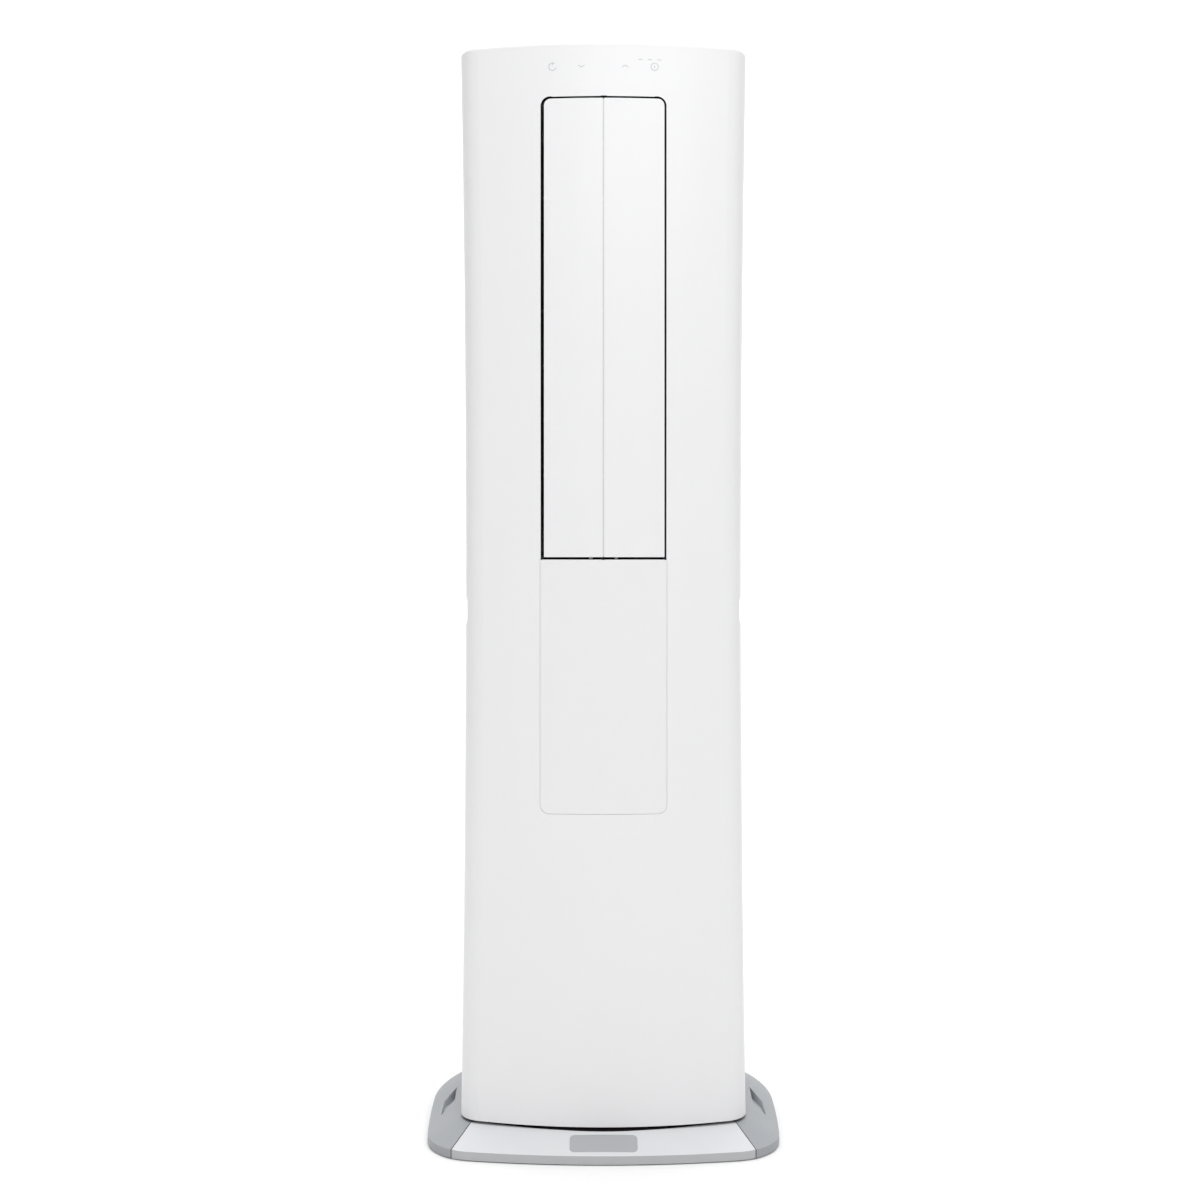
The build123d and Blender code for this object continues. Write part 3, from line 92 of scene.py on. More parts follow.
@dataclass(frozen=True)
class Finish:
    """One procedural finish: two colours, a gloss and a pattern whose scale is a real size.

    A band is a second colour below a height over the floor, for the shaded lower edge of a part.
    """

    name: str
    colour: str
    shade: str
    roughness: float
    surface: Surface = Surface.GRAIN
    feature_mm: float = 1.2
    bump: float = 0.05
    metallic: float = 0.0
    coat: float = 0.0
    ior: float = 1.5
    along: tuple[float, float, float] = (1.0, 1.0, 1.0)
    glow: float = 0.0
    band: str = ""
    band_mm: float = 0.0
    cloud_mm: float = 200.0
    grain_share: float = 0.35
    gloss_swing: float = 0.05
    relief_share: float = 0.15
    coat_roughness: float = 0.12
    least_roughness: float = 0.02

    def material(self) -> bpy.types.Material:
        """Build the material, or find it if it was built before.

        Returns:
            The node-based material.
        """
        found = bpy.data.materials.get(self.name)
        if found:
            return found
        made = bpy.data.materials.new(self.name)
        made.use_nodes = True
        tree = made.node_tree
        tree.nodes.clear()
        place = node(tree, "ShaderNodeTexCoord")
        stretch = node(tree, "ShaderNodeMapping", {"Scale": self.along}, {"Vector": place.outputs["Object"]})
        scale = 1.0 / (self.feature_mm * MM)
        if self.surface is Surface.SPANGLE:
            fine = node(tree, "ShaderNodeTexVoronoi", {"Scale": scale}, {"Vector": stretch.outputs[0]})
            height = fine.outputs["Color"]
        else:
            fine = node(tree, "ShaderNodeTexNoise", {"Scale": scale, "Detail": 3.0},
                        {"Vector": stretch.outputs[0]})
            height = fine.outputs["Fac"]
        cloud = node(tree, "ShaderNodeTexNoise", {"Scale": 1.0 / (self.cloud_mm * MM), "Detail": 2.0},
                     {"Vector": place.outputs["Object"]})
        blend = node(tree, "ShaderNodeMath", {"operation": "MULTIPLY_ADD", "use_clamp": True},
                     {0: height, 2: cloud.outputs["Fac"]})
        blend.inputs[1].default_value = self.grain_share
        mix = node(tree, "ShaderNodeMix", {"data_type": "RGBA"}, {0: blend.outputs[0]})
        mix.inputs[6].default_value = linear(self.colour)
        mix.inputs[7].default_value = linear(self.shade)
        colour = mix.outputs[2]
        if self.band:
            parts = node(tree, "ShaderNodeSeparateXYZ", links={0: place.outputs["Object"]})
            below = node(tree, "ShaderNodeMath", {"operation": "LESS_THAN"}, {0: parts.outputs["Z"]})
            below.inputs[1].default_value = self.band_mm * MM
            banded = node(tree, "ShaderNodeMix", {"data_type": "RGBA"}, {0: below.outputs[0], 6: colour})
            banded.inputs[7].default_value = linear(self.band)
            colour = banded.outputs[2]
        rough = node(tree, "ShaderNodeMapRange", {
            "To Min": max(self.least_roughness, self.roughness - self.gloss_swing),
            "To Max": min(1.0, self.roughness + self.gloss_swing),
        }, {"Value": height})
        relief = node(tree, "ShaderNodeBump", {
            "Strength": self.bump, "Distance": self.relief_share * self.feature_mm * MM,
        }, {"Height": height})
        shader = node(tree, "ShaderNodeBsdfPrincipled", {
            "Metallic": self.metallic, "IOR": self.ior,
            "Coat Weight": self.coat, "Coat Roughness": self.coat_roughness,
            "Emission Color": (1.0, 1.0, 1.0, 1.0), "Emission Strength": self.glow,
        }, {"Base Color": colour, "Roughness": rough.outputs[0], "Normal": relief.outputs[0]})
        node(tree, "ShaderNodeOutputMaterial", links={"Surface": shader.outputs[0]})
        return made


# Moulded ABS with a satin gloss: a clean white that takes a soft broad highlight. Its grain is finer than
# the render shows, so it is drawn 6 mm wide and almost flat
WHITE_ABS = Finish("satin_white_abs", "#E6E6E7", "#E5E5E6", 0.4, feature_mm=6.0, bump=0.002, coat=0.08)
# The inlay is a hard-coated sheet, a touch glossier than the shell and a neutral white
INLAY_SHEET = Finish("hard_coated_white_sheet", "#E5E5E5", "#E4E4E4", 0.36, feature_mm=8.0, bump=0.002,
                     coat=0.08)
# Textured ABS: cool light grey with a fine spark-eroded grain that breaks up the highlight. The grain is
# drawn 1.5 mm wide so that it shows. The darker band is the rim's upright edge, which is in shade
GREY_ABS = Finish("spark_grained_grey_abs", "#D5D6D8", "#D3D4D7", 0.5, feature_mm=1.5, bump=0.04,
                  band="#B3B4B6", band_mm=14.6)
# The side skirts are the same grey plastic, darkened with painted shade that stands for the shade on their
# slopes
SIDE_ABS_PAINTED_SHADE = Finish("spark_grained_grey_abs_painted_shade", "#9C9EA2", "#999CA0", 0.5, feature_mm=1.5, bump=0.04)
# The pad is a darker grey satin insert
PAD_ABS = Finish("satin_mid_grey_abs", "#A9ABAE", "#A5A7AA", 0.42, feature_mm=0.9, bump=0.08)
# Powder-coated steel: slightly warm off-white with a faint orange peel
POWDER_COAT = Finish("off_white_powder_coat", "#E6E6E3", "#DEDEDB", 0.4, feature_mm=1.6, bump=0.18, coat=0.1)
# Galvanised sheet: grey zinc with crystals about a centimetre across
GALVANISED = Finish("galvanised_sheet_steel", "#B4B9BC", "#8F969B", 0.38, Surface.SPANGLE, 9.0, 0.02, 1.0)
# Bright steel, with fine streaks along its length
STEEL = Finish("turned_bright_steel", "#C9CBCC", "#A9ADB0", 0.25, Surface.BRUSHED, 1.0, 0.05, 1.0,
               along=(1, 1, 0.05))
# Black polypropylene: deep grey, dull, faintly mottled
BLACK_PP = Finish("moulded_black_polypropylene", "#242628", "#1B1D1F", 0.55, feature_mm=1.2, bump=0.1)
# The pedestal's dark paint is painted shade: it makes the gap under the cabinet's front read as shadow, so
# that the cabinet seems to float over its base. On the fan motor the dark paint is the motor's own
DARK_STEEL_AND_PAINTED_SHADE = Finish("dark_steel_and_painted_shade", "#1C1D1F", "#17181A", 0.7, feature_mm=1.4, bump=0.1)
# Aluminium fins: bright, with streaks along the fin
FINS = Finish("rolled_fin_aluminium", "#D7DADB", "#BFC3C5", 0.3, Surface.BRUSHED, 1.4, 0.1, 1.0,
              along=(1, 1, 0.04))
# Drawn copper, dulled to brown in places
COPPER = Finish("drawn_copper_tube", "#C98A63", "#A86A48", 0.3, Surface.BRUSHED, 1.5, 0.06, 1.0,
                along=(1, 1, 0.1))
# Machined brass: yellow and bright, with fine tool marks
BRASS = Finish("machined_brass", "#CDB06A", "#B3944F", 0.28, Surface.BRUSHED, 1.0, 0.05, 1.0)
# Nitrile rubber: near black and dead matt
RUBBER = Finish("moulded_nitrile_rubber", "#26272A", "#1D1E20", 0.8, feature_mm=1.0, bump=0.15, ior=1.52)
# Soft PVC hose: mid grey, with a dull gloss
HOSE_PVC = Finish("grey_pvc_hose", "#8D9194", "#7F8386", 0.5, feature_mm=2.0, bump=0.1)
# Solder mask over a glass-epoxy board: deep green with a clear gloss
SOLDER_MASK = Finish("green_solder_mask", "#1E6B43", "#195A38", 0.3, feature_mm=1.0, bump=0.05, coat=0.3)
# Pad-printed ink: a faint cool grey on the white shell
KEY_INK = Finish("pale_grey_printing_ink", "#BDC1C5", "#B7BBC0", 0.5, feature_mm=1.0, bump=0.03)
# Painted shadow: a black, dead-matt sheet with a coarse open-celled grain, laid in gaps so that they read
# dark
PAINTED_SHADOW = Finish("black_painted_shadow", "#0B0B0C", "#080809", 0.95, feature_mm=1.5, bump=0.2)
# The lip in the vane seam is the vanes' plastic, left matt and a tone darker
LIP_ABS = Finish("matt_white_abs", "#D9DADB", "#D6D7D9", 0.6, feature_mm=4.0, bump=0.01)
# The pocket liners are the base's grey, a tone lighter than the side skirts
LINER_ABS = Finish("matt_light_grey_abs", "#C3C5C8", "#BFC2C5", 0.6, feature_mm=1.5, bump=0.04)
# Studio paper: plain white, matt
PAPER = Finish("white_studio_paper", "#F3F3F3", "#F2F2F2", 0.9, feature_mm=3.0, bump=0.01)
# The backdrop is lit from behind, so that it stays plain white
LIT_BACKDROP = Finish("back_lit_white_cloth", "#EEEEEE", "#ECECEC", 0.9, feature_mm=3.0, bump=0.01, glow=0.6)

LOUVRES = tuple(f"louvre_{i:02d}" for i in range(1, 9))
NODE_FINISHES: dict[Finish, tuple[str, ...]] = {
    WHITE_ABS: ("front_panel", "left_lower_side_panel", "left_upper_side_panel", "right_lower_side_panel",
                "right_upper_side_panel", "top_cover", "left_vane", "right_vane", "left_grip_cup",
                "right_grip_cup", "air_duct") + LOUVRES,
    INLAY_SHEET: ("lower_inlay",),
    GREY_ABS: ("base_front_skirt", "base_rear_skirt"),
    SIDE_ABS_PAINTED_SHADE: ("base_left_skirt", "base_right_skirt"),
    PAD_ABS: ("base_front_pad",),
    POWDER_COAT: ("rear_panel", "wall_bracket"),
    DARK_STEEL_AND_PAINTED_SHADE: ("base_plate", "fan_motor"),
    GALVANISED: ("left_upright", "right_upright", "lower_end_plate", "upper_end_plate", "control_box",
                 "control_lid", "left_vane_motor", "right_vane_motor", "louvre_motor"),
    STEEL: ("cabinet_screws", "fan_shaft", "touch_sensors"),
    BLACK_PP: ("fan_rotor", "fan_scroll", "fan_tongue", "drain_pan", "vane_bushes", "louvre_link",
               "pipe_outlet_ring", "cable_gland", "filter_rails", "left_filter", "right_filter",
               "fan_bearing"),
    FINS: ("evaporator_core",),
    COPPER: ("evaporator_bends", "gas_pipe", "liquid_pipe"),
    BRASS: ("flare_nuts",),
    RUBBER: ("base_feet",),
    HOSE_PVC: ("drain_hose",),
    SOLDER_MASK: ("display_board",),
}


def dress_nodes() -> None:
    """Give every carried-over CAD node its finish, and stop if one is left without."""
    for finish, names in NODE_FINISHES.items():
        for name in names:
            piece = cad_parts[name]
            piece.data.materials.clear()
            piece.data.materials.append(finish.material())
        log.info("finish %s on %d nodes", finish.name, len(names))
    bare = set(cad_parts) - {name for names in NODE_FINISHES.values() for name in names}
    if bare:
        raise ValueError(f"CAD nodes without a finish: {sorted(bare)}")


def begin() -> None:
    """Deselect everything, so that the next operator acts on the new primitive alone."""
    if bpy.context.object and bpy.context.object.mode != "OBJECT":
        bpy.ops.object.mode_set(mode="OBJECT")
    bpy.ops.object.select_all(action="DESELECT")


def turn_faces(inside: bool = False) -> None:
    """Select the active piece all over and turn its faces one way.

    Args:
        inside: whether they point inwards, and not outwards.
    """
    bpy.ops.object.mode_set(mode="EDIT")
    bpy.ops.mesh.select_all(action="SELECT")
    bpy.ops.mesh.normals_make_consistent(inside=inside)
    bpy.ops.object.mode_set(mode="OBJECT")


def thicken(piece: bpy.types.Object, thickness: float, offset: float) -> None:
    """Give a shell its wall, which settle() then applies.

    Args:
        piece: the shell.
        thickness: its wall, in metres.
        offset: 1 to grow along its normals, -1 to grow against them.
    """
    solid = piece.modifiers.new("wall", "SOLIDIFY")
    solid.thickness = thickness
    solid.offset = offset


def settle(name: str, finish: Finish, body: str = "cabinet") -> None:
    """Close the active piece: apply its place and modifiers, name it, dress it and let it ride.

    Args:
        name: the piece's name.
        finish: its finish.
        body: the CAD body that it moves with.
    """
    piece = bpy.context.object
    bpy.ops.object.transform_apply(location=True, rotation=True, scale=True)
    for modifier in list(piece.modifiers):
        bpy.ops.object.modifier_apply(modifier=modifier.name)
    piece.name = name
    piece.data.materials.clear()
    piece.data.materials.append(finish.material())
    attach(piece, body)
    log.info("piece %s: %d faces, on %s", name, len(piece.data.polygons), body)


@dataclass
class FrontFace:
    """The bowed front of the cabinet, as a height field: where its outer skin is at any X"""

    crown_y: float = -170.0 * MM
    radius: float = 739.0 * MM

    def skin_y(self, x: float) -> float:
        """Y of the outer skin at this X."""
        return self.crown_y + self.radius - math.sqrt(self.radius**2 - x * x)

    def press(self, piece: bpy.types.Object, proud: float) -> None:
        """Bend a flat piece onto the face, its front standing proud by that much.

        Args:
            piece: a mesh drawn with its front at Y of minus its thickness and its back at Y zero.
            proud: how far its front stands out of the skin, in metres.
        """
        low = min(v.co.y for v in piece.data.vertices)
        for vertex in piece.data.vertices:
            vertex.co.y += self.skin_y(vertex.co.x) - low - proud


@dataclass
class KeyIcons:
    """The faint printed touch keys over the vanes: two rings, two chevrons and three dashes"""

    face: FrontFace
    row_z: float = 1721.0 * MM
    ring_x: tuple[float, float] = (-81.0 * MM, 81.0 * MM)
    chevron_x: tuple[float, float] = (-35.0 * MM, 34.5 * MM)
    dash_x: tuple[float, ...] = (59.0 * MM, 73.5 * MM, 88.6 * MM)
    ring_radius: float = 5.8 * MM
    ring_steps: int = 36
    open_turn: float = 290.0
    open_start: float = 35.0
    stroke_length: float = 4.2 * MM
    power_stroke_rise: float = 4.6 * MM
    chevron_length: float = 6.2 * MM
    chevron_half: float = 2.5 * MM
    chevron_tilt: float = 30.0
    dash_rise: float = 11.0 * MM
    dash_length: float = 6.5 * MM
    dash_width: float = 1.1 * MM
    line: float = 1.15 * MM
    ink: float = 0.25 * MM
    rise: float = 0.06 * MM
    edge_share: float = 0.2

    def ring(self, name: str, x: float, gap: bool) -> None:
        """Draw one ring by spinning a small flat section.

        Args:
            name: the piece's name.
            x: its centre.
            gap: whether the ring is open, with room for a short stroke in the opening.
        """
        begin()
        turn = math.radians(self.open_turn if gap else 360)
        bpy.ops.mesh.primitive_plane_add(size=self.line, location=(0, 0, 0), rotation=(0, 0, 0))
        bpy.ops.object.mode_set(mode="EDIT")
        bpy.ops.transform.resize(value=(1, self.ink / self.line, 1))
        start = math.radians(self.open_start) if gap else 0.0
        bpy.ops.transform.translate(value=(self.ring_radius, 0, 0))
        bpy.ops.transform.rotate(value=-start + math.pi / 2, orient_axis="Y", center_override=(0, 0, 0))
        bpy.ops.mesh.spin(
            steps=self.ring_steps, angle=turn, use_normal_flip=False, center=(0, 0, 0), axis=(0, 1, 0))
        bpy.ops.mesh.select_all(action="SELECT")
        bpy.ops.mesh.remove_doubles(threshold=WELD)
        turn_faces()
        self.place(name, x, self.row_z)

    def bar(self, name: str, x: float, z: float, length: float, width: float, tilt: float = 0.0) -> None:
        """Draw one short printed stroke with softened ends.

        Args:
            name: the piece's name.
            x: its centre along X.
            z: its centre along Z.
            length: its length.
            width: its width.
            tilt: its turn about Y, in degrees.
        """
        begin()
        bpy.ops.mesh.primitive_cube_add(size=1, location=(0, 0, 0))
        bpy.ops.object.mode_set(mode="EDIT")
        bpy.ops.transform.resize(value=(length, self.ink, width))
        bpy.ops.mesh.bevel(offset=self.edge_share * min(self.ink, width), segments=1)
        bpy.ops.transform.rotate(value=math.radians(tilt), orient_axis="Y", center_override=(0, 0, 0))
        bpy.ops.object.mode_set(mode="OBJECT")
        self.place(name, x, z)

    def place(self, name: str, x: float, z: float) -> None:
        """Move the active stroke to its place on the face and finish it.

        Args:
            name: the piece's name.
            x: its centre along X.
            z: its centre along Z.
        """
        piece = bpy.context.object
        for vertex in piece.data.vertices:
            vertex.co.x += x
            vertex.co.z += z
        self.face.press(piece, self.rise)
        settle(name, KEY_INK)

    def build(self) -> None:
        """Draw the whole row."""
        power_x, mode_x = self.ring_x
        self.ring("key_power_ring", power_x, True)
        self.ring("key_mode_ring", mode_x, False)
        self.bar("key_power_stroke", power_x, self.row_z + self.power_stroke_rise, self.stroke_length,
                 self.line, 90)
        self.bar("key_mode_stroke", mode_x, self.row_z, self.stroke_length, self.line, 90)
        for name, x, sign in (("down", self.chevron_x[0], 1), ("up", self.chevron_x[1], -1)):
            for hand, side in ((-1, "left"), (1, "right")):
                self.bar(f"key_{name}_{side}", x + hand * self.chevron_half, self.row_z, self.chevron_length,
                         self.line, sign * hand * self.chevron_tilt)
        for index, x in enumerate(self.dash_x, start=1):
            self.bar(f"key_dash_{index}", x, self.row_z + self.dash_rise, self.dash_length, self.dash_width)


@dataclass
class OutletShadow:
    """A black wall of painted shadow inside the outlet's edge, which makes the gap round the vanes read dark
    """

    face: FrontFace
    half_width: float = 99.3 * MM
    foot: float = 939.6 * MM
    top: float = 1673.6 * MM
    corner: float = 14.0 * MM
    depth: float = 14.0 * MM
    corner_steps: int = 8
    margin: float = 0.1 * MM
    behind: float = -0.12 * MM
    wall: float = 0.7 * MM

    def build(self) -> None:
        """Model the painted shadow as a dark wall round the opening that follows the bow and runs into the
        duct.
        """
        begin()
        bpy.ops.mesh.primitive_plane_add(size=1, location=(0, 0, 0), rotation=(math.pi / 2, 0, 0))
        bpy.ops.object.transform_apply(location=True, rotation=True, scale=True)
        piece = bpy.context.object
        bpy.ops.object.mode_set(mode="EDIT")
        mesh = bmesh.from_edit_mesh(piece.data)
        for vertex in mesh.verts:
            high = vertex.co.z > 0
            vertex.co.x = math.copysign(self.half_width - self.margin, vertex.co.x)
            vertex.co.z = (self.top - self.margin) if high else (self.foot + self.margin)
            vertex.select_set(high)
        mesh.select_flush(True)
        bmesh.update_edit_mesh(piece.data)
        bpy.ops.mesh.bevel(offset=self.corner, segments=self.corner_steps, affect="VERTICES")
        bpy.ops.mesh.select_all(action="SELECT")
        bpy.ops.mesh.delete(type="ONLY_FACE")
        bpy.ops.mesh.select_all(action="SELECT")
        bpy.ops.mesh.subdivide(number_cuts=1)
        bpy.ops.mesh.extrude_edges_move(TRANSFORM_OT_translate={"value": (0, self.depth, 0)})
        turn_faces()
        for vertex in piece.data.vertices:
            vertex.co.y += self.face.skin_y(vertex.co.x) + self.behind
        thicken(piece, self.wall, -1 if self.faces_opening(piece) else 1)
        settle("outlet_painted_shadow", PAINTED_SHADOW)

    def faces_opening(self, piece: bpy.types.Object) -> bool:
        """Whether the wall's normals point into the opening.

        Args:
            piece: the wall, before it gets its thickness.

        Returns:
            True if they do.
        """
        widest = max(piece.data.polygons, key=lambda p: p.center.x)
        return widest.normal.x < 0


@dataclass
class SeamLip:
    """A narrow white lip on the right vane that closes the seam between the vanes, just behind their skins"""

    face: FrontFace
    half_gap: float = 1.0 * MM
    clearance: float = 0.15 * MM
    recess: float = 0.9 * MM
    depth: float = 1.2 * MM
    edge_share: float = 0.15
    foot: float = 944.5 * MM
    top: float = 1669.6 * MM

    def build(self) -> None:
        """Draw the lip as a long bar with softened edges, seated against the right vane's edge."""
        begin()
        bpy.ops.mesh.primitive_cube_add(size=1, location=(0, 0, 0))
        bpy.ops.object.mode_set(mode="EDIT")
        bpy.ops.transform.resize(value=(2 * self.half_gap - self.clearance, self.depth, self.top - self.foot))
        bpy.ops.mesh.bevel(offset=self.edge_share * self.depth, segments=2)
        middle_y = self.face.skin_y(0) + self.recess + self.depth / 2
        bpy.ops.transform.translate(value=(self.clearance / 2, middle_y, (self.top + self.foot) / 2))
        bpy.ops.object.mode_set(mode="OBJECT")
        settle("vane_seam_lip", LIP_ABS, body="right_vane")


@dataclass
class BaseTrim:
    """Painted shadow under the cabinet's front edge, liners in the floor pockets, thin strips of painted
    shadow in the skirt's seams
    """

    face: FrontFace
    look_from: float = 200.0 * MM
    ledge_z: float = 36.0 * MM
    shadow_strip_steps: int = 48
    shadow_strip_half_width: float = 186.0 * MM
    shadow_strip_rise: float = 0.3 * MM
    lift: float = 0.02 * MM
    shadow_strip_front: float = -2.6 * MM
    shadow_strip_taper: float = 13.5 * MM
    shadow_strip_back: float = 13.4 * MM
    crest_inset: float = -1.0 * MM
    seam_start: tuple[float, float] = (186.4 * MM, -79.0 * MM)
    seam_end: tuple[float, float] = (249.6 * MM, -216.8 * MM)
    seam_steps: int = 60
    seam_aside: float = 1.5 * MM
    seam_foot: float = 2.0 * MM
    rim_level: float = 13.0 * MM
    seam_width: float = 1.0 * MM
    seam_rise: float = 0.12 * MM
    pocket: tuple[tuple[float, float], ...] = (
        (249.0 * MM, -18.0 * MM), (268.0 * MM, -65.0 * MM), (269.0 * MM, -5.0 * MM), (252.0 * MM, 50.0 * MM))
    pocket_middle: tuple[float, float] = (259.5 * MM, -9.0 * MM)
    pocket_floor: float = 12.0 * MM
    pocket_inset: float = 0.3 * MM
    pocket_aside: float = 1.5 * MM
    pocket_sunk: float = 0.3 * MM
    pocket_first_rise: float = 4.0 * MM
    liner_wall: float = 0.8 * MM

    def height(self, x: float, y: float) -> float:
        """Find the base's upper surface by looking straight down on its CAD nodes.

        Args:
            x: the place along X.
            y: the place along Y.

        Returns:
            Its height over the floor, or zero beside the skirts.
        """
        best = 0.0
        for name in ("base_front_skirt", "base_right_skirt", "base_left_skirt"):
            start = Vector((x, y, self.look_from))
            hit, place, _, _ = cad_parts[name].ray_cast(start, Vector((0, 0, -1)))
            if hit:
                best = max(best, place.z)
        return best

    def shadow_strip(self) -> None:
        """Lay a dark strip of painted shadow on the skirt's ledge under the cabinet's front, broad at the
        middle and narrowing to its ends.
        """
        begin()
        bpy.ops.mesh.primitive_grid_add(
            x_subdivisions=self.shadow_strip_steps, y_subdivisions=2, size=2, location=(0, 0, 0))
        piece = bpy.context.object
        for vertex in piece.data.vertices:
            across = vertex.co.x
            x = across * self.shadow_strip_half_width
            front = self.shadow_strip_front + self.shadow_strip_taper * across**2
            row = round(vertex.co.y)
            inset = (front, max(front + self.lift, self.crest_inset), self.shadow_strip_back)[row + 1]
            y = self.face.skin_y(x) + inset
            vertex.co = (x, y, min(self.ledge_z, self.height(x, y)) + self.lift)
        turn_faces()
        thicken(piece, self.shadow_strip_rise, 1 if piece.data.polygons[0].normal.z > 0 else -1)
        settle("cabinet_painted_shadow", PAINTED_SHADOW)

    def seam_shadow(self, hand: int, name: str) -> None:
        """Lay a thin dark strip of painted shadow in one front corner seam of the skirt, draped on the slope.

        Args:
            hand: -1 for the left seam, 1 for the right one.
            name: the piece's name.
        """
        start, run = Vector(self.seam_start), Vector(self.seam_end) - Vector(self.seam_start)
        side = Vector((-run.y, run.x)).normalized() * self.seam_width / 2
        path: list[tuple[Vector, float]] = []
        for step in range(self.seam_steps + 1):
            middle = start + run * step / self.seam_steps
            level = max(self.height(hand * (middle.x + aside), middle.y)
                        for aside in (-self.seam_aside, self.seam_aside))
            if level > self.rim_level:
                path.append((middle, level + self.seam_rise))
            elif path:
                break
        edge = path[-1][0] + run.normalized() * self.seam_rise
        path += [(edge, path[-1][1]), (edge, self.seam_foot)]
        begin()
        bpy.ops.mesh.primitive_grid_add(
            x_subdivisions=len(path) - 1, y_subdivisions=1, size=2, location=(0, 0, 0))
        piece = bpy.context.object
        for vertex in piece.data.vertices:
            middle, level = path[round((vertex.co.x + 1) / 2 * (len(path) - 1))]
            place = middle + (side if vertex.co.y > 0 else -side)
            vertex.co = (hand * place.x, place.y, level)
        turn_faces()
        thicken(piece, 2 * self.seam_rise, -1 if piece.data.polygons[0].normal.z > 0 else 1)
        settle(name, PAINTED_SHADOW)

    def liner(self, hand: int, name: str) -> None:
        """Line one floor pocket with a thin grey wall, open at the top.

        Args:
            hand: -1 for the left pocket, 1 for the right one.
            name: the piece's name.
        """
        begin()
        bpy.ops.mesh.primitive_plane_add(size=2, location=(0, 0, 0))
        piece = bpy.context.object
        order = ((-1, -1), (1, -1), (1, 1), (-1, 1))
        middle = Vector(self.pocket_middle)
        for vertex in piece.data.vertices:
            corner = Vector(self.pocket[order.index((round(vertex.co.x), round(vertex.co.y)))])
            place = corner + (middle - corner).normalized() * self.pocket_inset
            vertex.co = (hand * place.x, place.y, self.pocket_floor)
        bpy.ops.object.mode_set(mode="EDIT")
        bpy.ops.mesh.select_all(action="SELECT")
        bpy.ops.mesh.extrude_region_move(TRANSFORM_OT_translate={"value": (0, 0, self.pocket_first_rise)})
        bpy.ops.mesh.delete(type="ONLY_FACE")
        turn_faces(inside=True)
        for vertex in piece.data.vertices:
            if vertex.co.z > self.pocket_floor + self.pocket_first_rise / 2:
                vertex.co.z = self.rim_height(vertex.co.x, vertex.co.y) - self.pocket_sunk
        thicken(piece, self.liner_wall, 1)
        settle(name, LINER_ABS)

    def rim_height(self, x: float, y: float) -> float:
        """Find the height of the skirt at a pocket's corner, a little outside the pocket.

        Args:
            x: the corner along X.
            y: the corner along Y.

        Returns:
            The lowest height there that is above the pocket's floor.
        """
        steps = (-self.pocket_aside, 0, self.pocket_aside)
        levels = [self.height(x + dx, y + dy) for dx in steps for dy in steps]
        return min(level for level in levels if level > self.pocket_floor)

    def build(self) -> None:
        """Lay the strip of painted shadow under the cabinet, the two seam shadows and the two pocket liners.
        """
        self.shadow_strip()
        for hand, side in ((-1, "left"), (1, "right")):
            self.seam_shadow(hand, f"{side}_skirt_seam_shadow")
            self.liner(hand, f"{side}_pocket_liner")


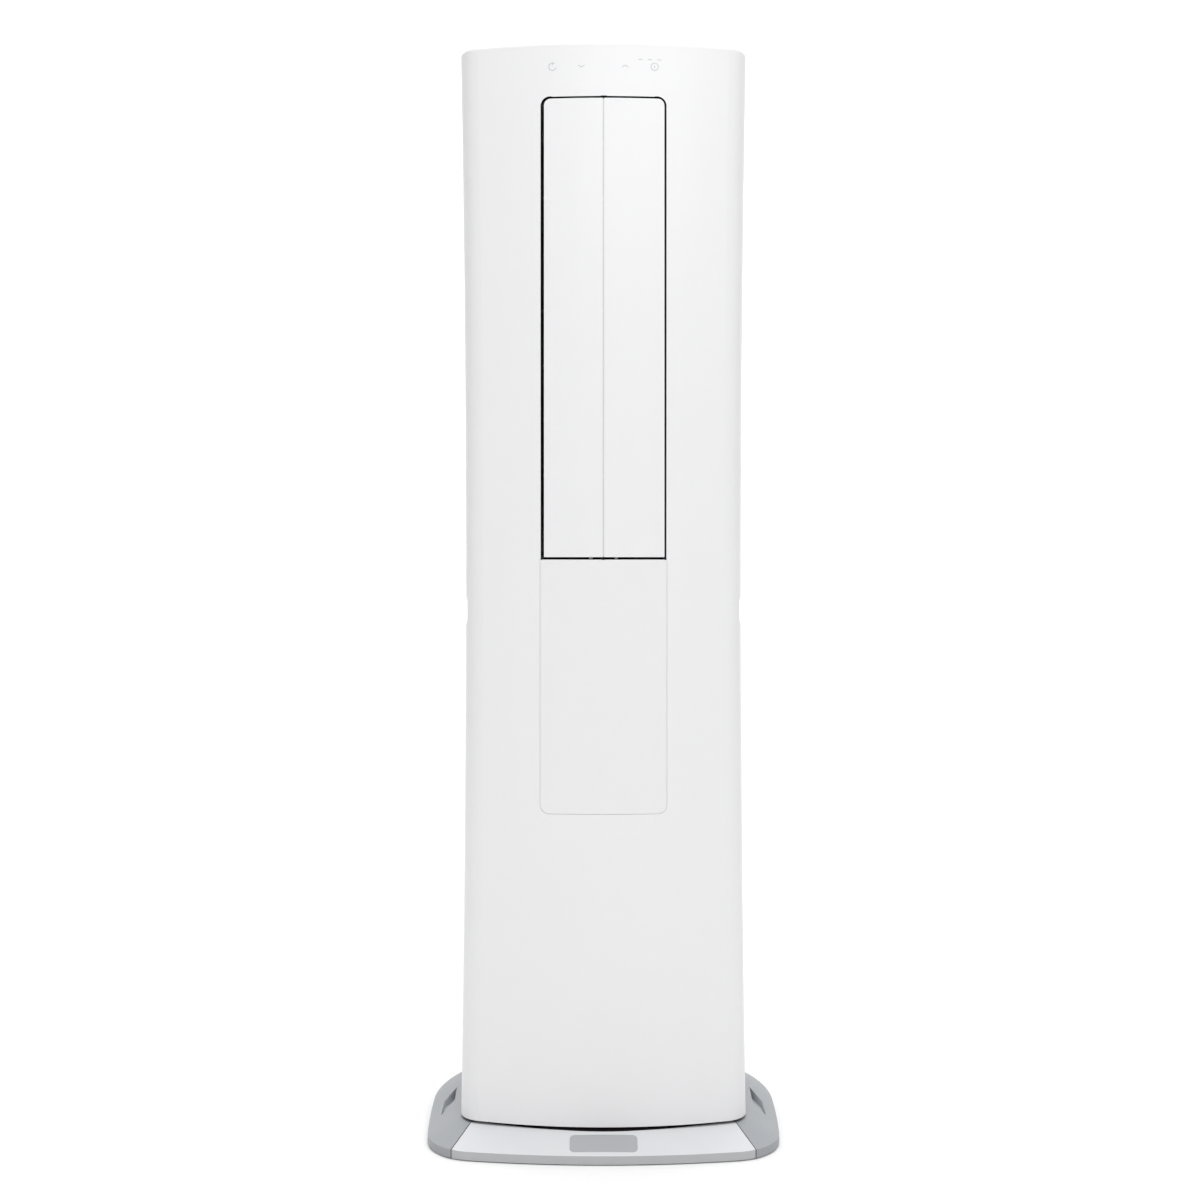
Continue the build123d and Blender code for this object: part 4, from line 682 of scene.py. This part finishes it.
@dataclass
class Stage:
    """Plain pale floor, white surroundings, soft lights and the camera of the photograph"""

    eye_level: float = 954.8 * MM
    distance: float = 2620.0 * MM
    aside: float = -5.6 * MM
    focal_px: float = 1548.0
    horizon_px: float = 550.0
    sensor_mm: float = 36.0
    key_place: tuple[float, float, float] = (0.45, -2.2, 2.6)
    key_size: tuple[float, float] = (1.6, 1.4)
    key_target: tuple[float, float, float] = (0.0, 0.0, 1.2)
    key_power: float = 19.0
    overhead_strength: float = 1.75
    overhead_spread: float = 70.0
    room: float = 0.7
    room_aside: float = 0.4
    sheet_size: float = 14.0
    floor_place: tuple[float, float, float] = (0.0, -1.0, -0.2 * MM)
    backdrop_place: tuple[float, float, float] = (0.0, 5.9, 3.5)

    def camera(self) -> None:
        """Set up the level camera: lens from the focal length in pixels, shift from the horizon."""
        data = bpy.data.cameras.new("camera")
        data.sensor_width = self.sensor_mm
        data.lens = self.focal_px * self.sensor_mm / IMAGE_SIZE
        data.shift_y = (self.horizon_px - IMAGE_SIZE / 2) / IMAGE_SIZE
        camera = bpy.data.objects.new("camera", data)
        camera.location = (self.aside, -self.distance, self.eye_level)
        camera.rotation_euler = (math.pi / 2, 0, 0)
        bpy.context.scene.collection.objects.link(camera)
        bpy.context.scene.camera = camera

    def light(self) -> None:
        """Hang the key soft box at the upper right and spread an even soft light straight down."""
        box = bpy.data.lights.new("key_light", "AREA")
        box.shape = "RECTANGLE"
        box.size, box.size_y = self.key_size
        box.energy = self.key_power
        key = bpy.data.objects.new("key_light", box)
        key.location = self.key_place
        key.rotation_euler = (Vector(self.key_target) - key.location).to_track_quat("-Z", "Y").to_euler()
        overhead = bpy.data.lights.new("overhead_light", "SUN")
        overhead.energy = self.overhead_strength
        overhead.angle = math.radians(self.overhead_spread)
        for lamp in (key, bpy.data.objects.new("overhead_light", overhead)):
            bpy.context.scene.collection.objects.link(lamp)

    def floor(self) -> None:
        """Lay the studio paper and hang the lit backdrop behind it."""
        begin()
        bpy.ops.mesh.primitive_plane_add(size=self.sheet_size, location=self.floor_place)
        self.settle_stage("studio_paper", PAPER)
        begin()
        bpy.ops.mesh.primitive_plane_add(
            size=self.sheet_size, location=self.backdrop_place, rotation=(math.pi / 2, 0, 0))
        self.settle_stage("studio_backdrop", LIT_BACKDROP)

    def settle_stage(self, name: str, finish: Finish) -> None:
        """Apply the active stage piece's place, name it and give it its finish.

        Args:
            name: the piece's name.
            finish: its finish.
        """
        piece = bpy.context.object
        bpy.ops.object.transform_apply(location=True, rotation=True, scale=True)
        piece.name = name
        piece.data.materials.append(finish.material())

    def world(self) -> None:
        """White surroundings, dimmer at both sides, and a plain view transform that keeps white white."""
        scene = bpy.context.scene
        scene.world = bpy.data.worlds.new("white_room")
        scene.world.use_nodes = True
        tree = scene.world.node_tree
        tree.nodes.clear()
        place = node(tree, "ShaderNodeTexCoord")
        parts = node(tree, "ShaderNodeSeparateXYZ", links={0: place.outputs["Generated"]})
        aside = node(tree, "ShaderNodeMath", {"operation": "ABSOLUTE"}, {0: parts.outputs["X"]})
        level = node(tree, "ShaderNodeMapRange", {"To Min": self.room, "To Max": self.room_aside},
                     {"Value": aside.outputs[0]})
        sky = node(tree, "ShaderNodeBackground", {"Color": (1.0, 1.0, 1.0, 1.0)},
                   {"Strength": level.outputs[0]})
        node(tree, "ShaderNodeOutputWorld", links={"Surface": sky.outputs[0]})
        scene.view_settings.view_transform = "Standard"

    def build(self) -> None:
        """Make the whole stage."""
        self.camera()
        self.world()
        self.light()
        self.floor()
        log.info("stage ready")


def main() -> None:
    """Build the stage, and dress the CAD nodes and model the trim."""
    face = FrontFace()
    Stage().build()
    dress_nodes()
    KeyIcons(face).build()
    OutletShadow(face).build()
    SeamLip(face).build()
    BaseTrim(face).build()


if __name__ == "__main__":
    main()
